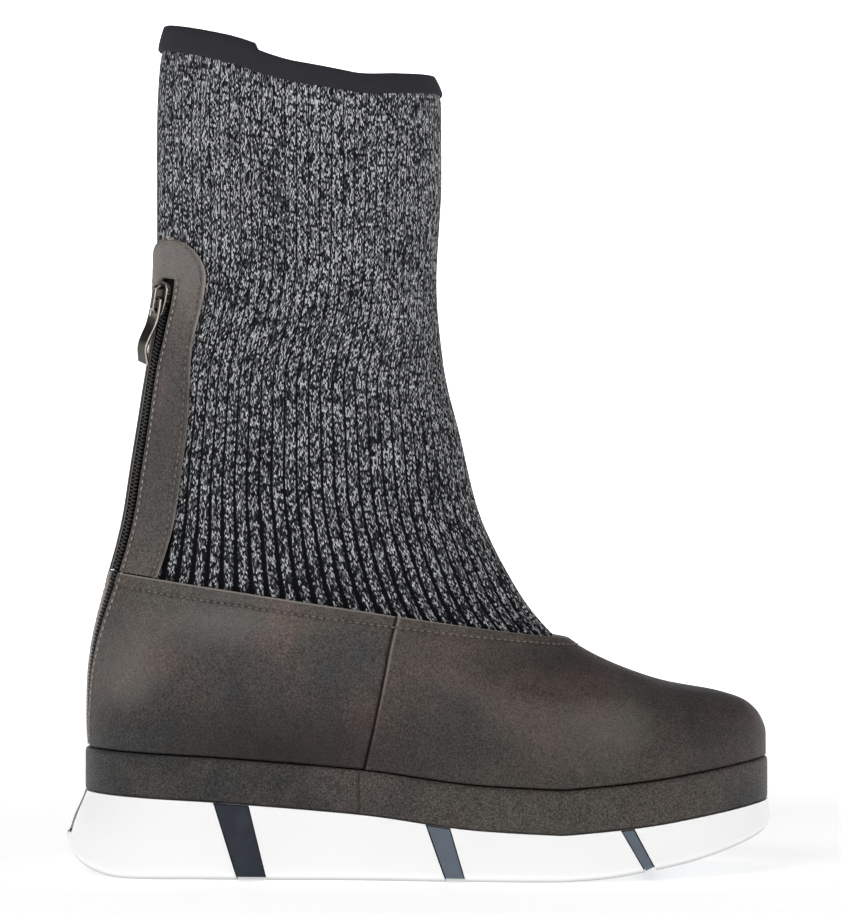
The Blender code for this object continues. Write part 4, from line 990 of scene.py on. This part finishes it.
# %% Pull
head = SLIDER_LIFT + SLIDER_THICK + (BRIDGE_RISE - BRIDGE_THICK) / 2
pin = zip_middle + zip_out * head * MM
bar = PULL_THICK * 0.55
hole_end = SLIDER_LENGTH * 0.41 + 1.4
lines = np.concatenate(([bar, -bar, -hole_end * 0.35, -hole_end * 0.7, -hole_end],
                        np.linspace(-hole_end - 1.6, bar - PULL_LENGTH, 14)))
places = []
for y in lines:
    s = (bar - y) / PULL_LENGTH
    rise = PULL_KICK * float(follow(PULL_RISE, s))
    w = PULL_WIDTH / 2 * float(follow(PULL_FORM, s))
    hole = BRIDGE_WIDTH / 2 + HOLE_ROOM
    cuts = [-w, -mix(w, hole, 0.5), -hole, hole, mix(w, hole, 0.5), w]
    from_pin = zip_up * y + zip_out * (rise + PULL_THICK / 2)
    places.append([pin + (zip_side * x + from_pin) * MM for x in cuts])
bm = lay_grid(np.array(places)[::-1], gap=lambda r, c: c == 2 and len(lines) - 5 <= r <= len(lines) - 3)
bmesh.ops.recalc_face_normals(bm, faces=bm.faces)
pull = finish_piece("zip_pull_tab", bm, gunmetal, ["zip_pull"], "pull", smooth_below=40.0,
                    rim=edge_highlight_metal)
give_wall(pull, PULL_THICK)
soft = pull.modifiers.new("rounded_edges", "BEVEL")
soft.width = PULL_ROUND * MM
soft.segments = 3
soft.limit_method = "ANGLE"
soft.angle_limit = math.radians(50)
soft.profile = 0.5
soft.material = 1

# %% [markdown]
# ## Collar tape
#
# A soft elastic tape is folded over the knit's raw top edge, half outside and half inside, and its end
# is lapped over its start at the outer side of the back. It is one closed profile carried round the
# collar, thicker and a little higher along the lap.

# %% Collar
TAPE_HEIGHT = 6.6
TAPE_WALL = 0.8
TAPE_GAP = 0.55
LAP_RISE = 1.6
LAP_FRONT = -62.0
lap_turn = turn_at_x(TOP_LEVEL, LAP_FRONT)
far_lap = 2 * math.pi - 0.5
lap_steps = np.linspace(lap_turn - 0.02, lap_turn + 0.03, 5)
steps = np.concatenate((np.linspace(0.0, lap_turn - 0.03, 12), lap_steps,
                        np.linspace(lap_turn + 0.05, far_lap - 0.02, 130),
                        np.linspace(far_lap, 2 * math.pi, 14)))
knit_outer = float(knit_lift(TOP_LEVEL))
knit_inner = knit_outer - KNIT_WALL
rings = []
for a in steps:
    lapped = 1 - float(smooth((a - lap_turn + 0.02) / 0.035))
    if a > far_lap - 0.01:
        lapped = 1.0
    rise = LAP_RISE * lapped
    wall = TAPE_WALL * (1 + 0.6 * lapped)
    wave = 0.16 * noise.noise(Vector((a * 9.0, 0.0, 0.0)))
    top_point, below = skin(TOP_LEVEL, a), skin(TOP_LEVEL - 0.5, a)
    down = (below - top_point) / np.linalg.norm(below - top_point)
    away = outward(TOP_LEVEL, a)
    out, inn = knit_outer + TAPE_GAP, knit_inner - TAPE_GAP
    front, back = out + wall, inn - TAPE_WALL
    head = -rise - TAPE_GAP - wall
    profile = [(out, TAPE_HEIGHT + wave), (out + wall * 0.6, TAPE_HEIGHT + wave * 2),
               (front + 0.1, TAPE_HEIGHT - 0.6), (front + 0.22, TAPE_HEIGHT * 0.66),
               (front + 0.22, TAPE_HEIGHT * 0.33), (front, -rise * 0.5),
               (out + wall * 0.75, head + wall * 0.4), (out, head), (inn, head),
               (inn - TAPE_WALL * 0.75, head + wall * 0.4), (back, -rise * 0.5), (back, TAPE_HEIGHT),
               (inn, TAPE_HEIGHT), (inn, -TAPE_GAP), (out, -TAPE_GAP), (out, TAPE_HEIGHT + wave)]
    rings.append([(top_point + away * lift + down * depth) * MM for lift, depth in profile])
places = np.swapaxes(np.array(rings), 0, 1)
along = np.concatenate(([0.0], np.cumsum(np.linalg.norm(np.diff(places[2], axis=0), axis=1)))) / MM
marks = np.stack((np.broadcast_to(along, places.shape[:2]), metres_along(places)), axis=-1)
bm = lay_grid(places, marks)
bmesh.ops.remove_doubles(bm, verts=bm.verts, dist=0.01 * MM)
bmesh.ops.recalc_face_normals(bm, faces=bm.faces)
finish_piece("collar_tape", bm, collar_cloth, ["collar_binding"], smooth_below=60.0)

# %% [markdown]
# ## The platform and the sole
#
# Under the foot lies a platform wrapped in pebbled leather, on a sole of white foam that rolls up at
# heel and toe. Both are stacks of rings round the foot's outline. The last ring at each end shrinks on
# to the foot's middle line, which closes the shape without a pole.

# %% Rings round the sole
def sole_rings(rows, turns, ends, sides, heights):
    """Stacks rings. ends, sides and heights are given for a row number; heights is a function of x too."""
    stack = []
    for row in rows:
        back_in, front_in = ends(row, 0.0), ends(row, 1.0)
        half = BALL_WIDTH / 2 * WIDTH_FIT - sides(row)
        x, y = outline(turns, HEEL_X + back_in, TOE_X - front_in, half)
        stack.append(np.stack((x, y - Y_SHIFT, heights(row, x)), axis=-1))
    return np.array(stack) * MM


def capped(stack):
    """Adds rings below and above that close on the middle line."""
    spine = (stack + stack[:, ::-1]) / 2
    bottom = [mix(spine[0], stack[0], s) for s in (0.0, 0.35, 0.7)]
    top = [mix(spine[-1], stack[-1], s) for s in (0.7, 0.35, 0.0)]
    return np.concatenate((bottom, stack, top))


def closed_form(stack):
    bm = lay_grid(capped(stack))
    bmesh.ops.remove_doubles(bm, verts=bm.verts, dist=0.005 * MM)
    bmesh.ops.recalc_face_normals(bm, faces=bm.faces)
    return bm


# %% Platform band
# Each row: its number, how far it is drawn in, and its height above the platform's foot.
BAND_ROWS = [(0.0, 3.0, 0.0), (1.0, 0.9, 0.05), (2.0, 0.15, 0.5), (3.0, 0.0, 1.4), (4.0, 0.0, 8.0),
             (5.0, 0.0, 14.4), (6.0, 0.3, 15.6), (7.0, 1.1, 16.15), (8.0, 2.5, 16.2), (9.0, 6.0, 16.2)]
band_in = [(row, inset) for row, inset, up in BAND_ROWS]
band_up = [(row, up) for row, inset, up in BAND_ROWS]
seam_x = HEEL_X + SOLE_LENGTH * SEAM_FOOT_X - 1.9
band_back, band_front = HEEL_X + HEEL_FLARE, TOE_X - TOE_FLARE
seam_offsets = np.array([-3.0, -1.6, -0.9, -0.5, -0.2, 0.0, 0.2, 0.5, 0.9, 1.6, 3.0])
seam_turns = np.arccos(1 - 2 * (seam_x + seam_offsets - band_back) / (band_front - band_back))
near = np.concatenate((np.linspace(0.0, seam_turns[0], 46, endpoint=False), seam_turns,
                       np.linspace(seam_turns[-1], math.pi, 60)[1:]))
band_turns = np.concatenate((near, 2 * math.pi - near[-2::-1]))
stack = sole_rings(
    np.arange(10.0), band_turns,
    lambda row, t: mix(HEEL_FLARE, TOE_FLARE, t) + float(follow(band_in, row)),
    lambda row: SIDE_FLARE + float(follow(band_in, row)),
    lambda row, x: platform_top(x) - BAND_HEIGHT + float(follow(band_up, row)))
d = stack[..., 0] / MM - seam_x
dent = -0.35 * (1 - smooth((d + 0.3) / 0.6)) - 0.55 * np.exp(-(((d + 0.5) / 0.35) ** 2))
stack[..., 1] += np.sign(stack[..., 1]) * dent * MM * (np.abs(stack[..., 1]) > 0.01)
finish_piece("platform_wrap", closed_form(stack), grained, ["midsole"], smooth_below=60.0)

# %% Foam and rubber finishes
# Moulded foam: white, with a faint shine from its closed skin.
foam, foam_tree, foam_shader, foam_at, _, foam_tone = two_tone(
    "moulded_white_foam", "#f8f8f8", "#fdfdfc", 20.0, 3.0, Roughness=0.42, IOR=1.5)
# The tread and its rounded edge are painted grey as painted shade, which draws the sole's lower outline.
foam_edge_shade = add(foam_tree, "Attribute", attribute_name="wear_and_painted_light").outputs["Fac"]
foam_with_edge_shade = add(foam_tree, "Mix", {0: foam_edge_shade, 6: foam_tone, 7: linear("#a9abad")}, data_type="RGBA")
join(foam_tree, foam_with_edge_shade.outputs[2], foam_shader, "Base Color")
foam_skin = add(foam_tree, "TexNoise", {"Vector": foam_at, "Scale": 1000 / DUST_MM, "Detail": 2.0})
foam_bump = add(foam_tree, "Bump", {"Height": foam_skin, "Strength": 0.15, "Distance": 0.05 * MM})
join(foam_tree, foam_bump.outputs["Normal"], foam_shader, "Normal")

# Navy rubber: satin, nearly black at the heel, with a grey bloom further along the sole.
BLOOM_MM = 8.0
navy, navy_tree, navy_shader = new_finish("satin_navy_rubber", Roughness=0.38, IOR=1.52,
                                          Specular_IOR_Level=0.22)
navy_at = add(navy_tree, "TexCoord").outputs["Object"]
navy_noise = add(navy_tree, "TexNoise", {"Vector": navy_at, "Scale": 1000 / BLOOM_MM, "Detail": 3.0})
navy_x = add(navy_tree, "SeparateXYZ", {"Vector": navy_at}).outputs["X"]
navy_bloom = add(navy_tree, "MapRange", {"Value": navy_x, "From Min": -0.05, "From Max": 0.0,
                                         "To Max": 0.8})
navy_mixed = add(navy_tree, "Math", [navy_noise, 0.25, navy_bloom], operation="MULTIPLY_ADD")
navy_tone = add(navy_tree, "ValToRGB", [navy_mixed])
navy_tone.color_ramp.elements[0].color = linear("#0e1220")
navy_tone.color_ramp.elements[1].color = linear("#5e6873")
join(navy_tree, navy_tone.outputs["Color"], navy_shader, "Base Color")

# A thin black outline round each band, with no shine: painted shadow of the narrow gap between band
# and channel.
gap_shadow_rubber = two_tone("painted_gap_shadow_edge", "#07080b", "#191c24", 3.0, 2.0, Roughness=0.7, IOR=1.52,
                   Specular_IOR_Level=0.2)[0]

# %% [markdown]
# The bands lie in channels of the foam. Planes cut the sole's faces along each band's edges. A copy of
# the faces between two cuts becomes the band, and on the sole the same faces are then pushed inwards.

# %% Sole with channels
CHANNEL_DEPTH = 3.0
STRIPE_SIDE_INSET = 0.35
STRIPE_FLOOR_INSET = 1.3
STRIPE_FIT = 0.3
STRIPE_LINE = 0.5
BACK_STRIPE_HALF = 9.0
BACK_STRIPE_FOOT = HEEL_ROLL_HEIGHT + 1.5
STRIPE_TAPER = 0.15
TREAD_EDGE = 1.0
HEEL_REACH = 20.0
STRIPES = [("stripe_heel", 0.238, 0.049, 0.283), ("stripe_arch", 0.525, 0.033, 0.327),
           ("stripe_ball", 0.787, 0.0205, 0.56)]
# Each row: end inset, side inset, share of the flare at ends and at sides, share of height, lift.
SOLE_ROWS = [(9.0, 7.0, 0.0, 0.0, 0.0, 0.0), (2.6, 2.4, 0.0, 0.0, 0.0, 0.0), (0.7, 0.7, 0.0, 0.0, 0.0, 0.9),
             (0.0, 0.0, 0.0, 0.0, 0.0, 2.4), (0.0, 0.0, 0.3, 0.4, 0.5, 0.0), (0.0, 0.0, 1.0, 1.0, 1.0, 0.0)]
sole_curves = [[(float(n), row[k]) for n, row in enumerate(SOLE_ROWS)] for k in range(6)]


def sole_part(k, row):
    return float(follow(sole_curves[k], row))


def sole_ends(row, t):
    return sole_part(0, row) + mix(HEEL_FLARE, TOE_FLARE, t) * sole_part(2, row)


def sole_sides(row):
    return sole_part(1, row) + SIDE_FLARE * sole_part(3, row)


def sole_height(row, x):
    return mix(tread(x), platform_top(x) - BAND_HEIGHT - GAP, sole_part(4, row)) + sole_part(5, row)


sole_levels = np.array([0.0, 1.0, 1.35, 1.7, 2.0, 2.5, 3.0, 3.35, 3.7, 4.0, 4.35, 4.7, 5.0])
sole_turns = np.linspace(0.0, 2 * math.pi, 193)
sole = closed_form(sole_rings(sole_levels, sole_turns, sole_ends, sole_sides, sole_height))


def cut(bm, point, normal, geom=None):
    chosen = geom or bm.verts[:] + bm.edges[:] + bm.faces[:]
    bmesh.ops.bisect_plane(bm, geom=chosen, dist=0.0, plane_co=Vector(point) * MM,
                           plane_no=Vector(normal).normalized())


channels = {}
for name, share, width, lean in STRIPES:
    middle = HEEL_X + SOLE_LENGTH * share
    half = SOLE_LENGTH * width / 2
    crown = float(platform_top(middle)) - BAND_HEIGHT
    walls = []
    for side in (-1, 1):
        slope = -lean + half * STRIPE_TAPER / crown * side
        point, normal = Vector((middle + half * side, 0.0, crown)), Vector((1.0, 0.0, -slope)).normalized()
        cut(sole, point, normal)
        walls.append((point * MM, normal))
    channels[name] = walls


def near_heel():
    """The faces at the back of the sole, with their edges and corners."""
    faces = [f for f in sole.faces if f.calc_center_median().x < (HEEL_X + HEEL_REACH) * MM]
    return once([v for f in faces for v in f.verts] + [e for f in faces for e in f.edges] + faces)


cut(sole, (HEEL_X, 0.0, BACK_STRIPE_FOOT), (0.0, 0.0, 1.0), near_heel())
for y in (-BACK_STRIPE_HALF, BACK_STRIPE_HALF):
    cut(sole, (HEEL_X, y, 0.0), (0.0, 1.0, 0.0), near_heel())


def on_top(face):
    """True for the faces that lie hidden under the platform."""
    c = face.calc_center_median() / MM
    return face.normal.z > 0.7 and c.z > float(platform_top(c.x)) - BAND_HEIGHT - 1.2


def in_channel(face, name):
    c = face.calc_center_median()
    if on_top(face):
        return False
    if name == "stripe_back":
        at_back = c.x < (HEEL_X + 14.0) * MM and c.z > BACK_STRIPE_FOOT * MM
        return at_back and abs(c.y) < BACK_STRIPE_HALF * MM
    (low, low_n), (high, high_n) = channels[name]
    return (c - low).dot(low_n) > 0 and (c - high).dot(high_n) < 0


sole.normal_update()
for name in [s[0] for s in STRIPES]:
    band_bm = sole.copy()
    others = [f for f in band_bm.faces if not in_channel(f, name)]
    bmesh.ops.delete(band_bm, geom=others, context="FACES")
    bmesh.ops.remove_doubles(band_bm, verts=band_bm.verts, dist=0.15 * MM)
    # The outline faces take the painted gap shadow.
    line = bmesh.ops.inset_region(band_bm, faces=band_bm.faces[:], thickness=STRIPE_LINE * MM, depth=0.0,
                                  use_boundary=True, use_even_offset=True)["faces"]
    for face in line:
        face.material_index = 1
    band_bm.normal_update()
    for v in band_bm.verts:
        inset = mix(STRIPE_SIDE_INSET, STRIPE_FLOOR_INSET, float(smooth((-v.normal.z - 0.4) / 0.4)))
        v.co -= v.normal * inset * MM
    stripe = finish_piece(name + "_rubber", band_bm, navy, [name], smooth_below=40.0,
                          rim=gap_shadow_rubber)
    give_wall(stripe, CHANNEL_DEPTH - STRIPE_FLOOR_INSET - STRIPE_FIT, 1, even=False)

# The back panel is laid on the heel by height and by distance from the middle line.
PANEL_INSET = 0.12
fine_near = np.linspace(-0.8, 0.8, 400)
fine_side = outline(fine_near, HEEL_X, TOE_X, BALL_WIDTH / 2 * WIDTH_FIT)[1] - Y_SHIFT
panel_sides = np.linspace(BACK_STRIPE_HALF - STRIPE_FIT, STRIPE_FIT - BACK_STRIPE_HALF, 19)
panel_turns = np.interp(panel_sides, fine_side[::-1], fine_near[::-1])
heel = sole_rings(np.linspace(2.0, 4.97, 120), panel_turns, sole_ends, sole_sides, sole_height)
panel = np.empty((15, len(panel_turns), 3))
for c in range(len(panel_turns)):
    heights = np.linspace((BACK_STRIPE_FOOT + STRIPE_FIT) * MM, heel[-1, c, 2], 15)
    for k in range(3):
        panel[:, c, k] = np.interp(heights, heel[:, c, 2], heel[:, c, k])
panel[..., 0] += PANEL_INSET * MM
panel_bm = lay_grid(panel)
# Faces near the panel's sides and foot take the painted gap shadow.
for face in panel_bm.faces:
    at = face.calc_center_median() / MM
    face.material_index = int(abs(at.y) > BACK_STRIPE_HALF - 1.2 or at.z < BACK_STRIPE_FOOT + 1.4)
back_panel = finish_piece("stripe_back_rubber", panel_bm, navy, ["stripe_back"], rim=gap_shadow_rubber)
give_wall(back_panel, CHANNEL_DEPTH - STRIPE_FLOOR_INSET - STRIPE_FIT, 1)
for name in [s[0] for s in STRIPES]:
    sole.normal_update()
    chosen = [f for f in sole.faces if in_channel(f, name)]
    bmesh.ops.inset_region(sole, faces=chosen, thickness=0.0, depth=-CHANNEL_DEPTH * MM, use_boundary=True)
behind = [f for f in sole.faces if in_channel(f, "stripe_back")]
pushed = bmesh.ops.extrude_face_region(sole, geom=behind)["geom"]
pushed_verts = [g for g in pushed if isinstance(g, bmesh.types.BMVert)]
bmesh.ops.translate(sole, vec=(CHANNEL_DEPTH * MM, 0.0, 0.0), verts=pushed_verts)
bmesh.ops.delete(sole, geom=[f for f in behind if f.is_valid], context="FACES")
# Painted shade: the foam is marked grey along the tread and its rounded edge.
tread_edge_shade = sole.verts.layers.float["wear_and_painted_light"]
for v in sole.verts:
    above_tread = v.co.z / MM - float(tread(v.co.x / MM))
    v[tread_edge_shade] = math.exp(-((above_tread / TREAD_EDGE) ** 2))
finish_piece("foam_sole", sole, foam, ["outsole"], smooth_below=40.0)

# %% [markdown]
# ## Stitches
#
# Waxed thread holds the edges: one row round the throat a few millimetres below the leather's edge, and
# rows down both sides of the zip. Each stitch is one small rounded bar sunk half way into the leather.

# %% Thread and stitches
# Waxed linen thread: dull, and paler where the wax has rubbed off.
brown_thread = two_tone("waxed_brown_thread", "#524640", "#897a70", 4.0, 2.0, Roughness=0.7)[0]
pale_thread = two_tone("rubbed_pale_thread", "#75675e", "#b5a99e", 4.0, 2.0, Roughness=0.7)[0]
ZIP_STITCH_OUT = 2.3


def sew(name, path, outs, finish, pitch=2.7, length=1.9, thick=0.75):
    """Sets stitches at an even pitch along a path of places in metres."""
    run = np.concatenate(([0.0], np.cumsum(np.linalg.norm(np.diff(path, axis=0), axis=1)))) / MM
    bm = bmesh.new()
    count = int(run[-1] / pitch)
    for k in range(count):
        here = (k + 0.5) * run[-1] / count
        at = Vector([np.interp(here, run, path[:, n]) for n in range(3)])
        ahead = Vector([np.interp(here + 0.5, run, path[:, n]) for n in range(3)])
        behind = Vector([np.interp(here - 0.5, run, path[:, n]) for n in range(3)])
        way = (ahead - behind).normalized()
        out = Vector([np.interp(here, run, outs[:, n]) for n in range(3)]).normalized()
        size = (thick / 2, length / 2, thick / 2)
        bmesh.ops.create_uvsphere(bm, u_segments=6, v_segments=4, radius=1.0,
                                  matrix=frame_at(at, out.cross(way), way, out, size))
    return finish_piece(name, bm, finish)


def stitch_row(name, levels, turns, finish, lift=0.0):
    sew(name, wrap(levels, turns, lift), outward(levels, turns), finish)


edge_turns = np.linspace(turns_at(THROAT_LEVEL, zip_arc(THROAT_LEVEL) + 12.0),
                         2 * math.pi + turns_at(THROAT_LEVEL, zip_arc(THROAT_LEVEL) - 12.0), 300)
edge_levels = levels_below(edge_turns, drop=STITCH_DROP)
on_vamp = skin(edge_levels, edge_turns)[:, 0] > seam_at(edge_levels)
stitch_row("throat_stitches", edge_levels, edge_turns, brown_thread, np.where(on_vamp, 0.62, 0.05))
side_levels = np.linspace(0.5, SLOT_LEVEL, 200)
for name, off, yarn, lift in (("zip_stitches_near", SLOT_HALF + ZIP_STITCH_OUT, pale_thread, 0.15),
                              ("zip_stitches_far", -SLOT_HALF - ZIP_STITCH_OUT, brown_thread, -0.2)):
    turns = np.array([float(turns_at(level, zip_arc(level) + off)) for level in side_levels])
    stitch_row(name, side_levels, turns, yarn, lift)
leg_fine = np.linspace(facing_foot, arch_start, 120)
for name, curve, sign in (("facing_stitches_near", FACING_OUTER, 1),
                          ("facing_stitches_far", FACING_INNER, -1)):
    offs = [sign * (float(follow(curve, skin(level, 0.0)[2])) - FACING_STITCH_IN) for level in leg_fine]
    turns = np.array([float(turns_at(level, zip_arc(level) + off)) for level, off in zip(leg_fine, offs)])
    stitch_row(name, leg_fine, turns, brown_thread, 0.1)

# %% [markdown]
# ## Lining board
#
# Inside lies the sock lining, a thin board covered in brushed cloth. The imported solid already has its
# shape, so it only gets its finish.

# %% Lining
# Brushed cotton: matt and warm, a little uneven where the nap lies over.
brushed = two_tone("brushed_lining_cloth", "#2d2926", "#4c4641", 1.5, 4.0, Roughness=0.95)[0]
for slot in bpy.data.objects["insole"].material_slots:
    slot.material = brushed
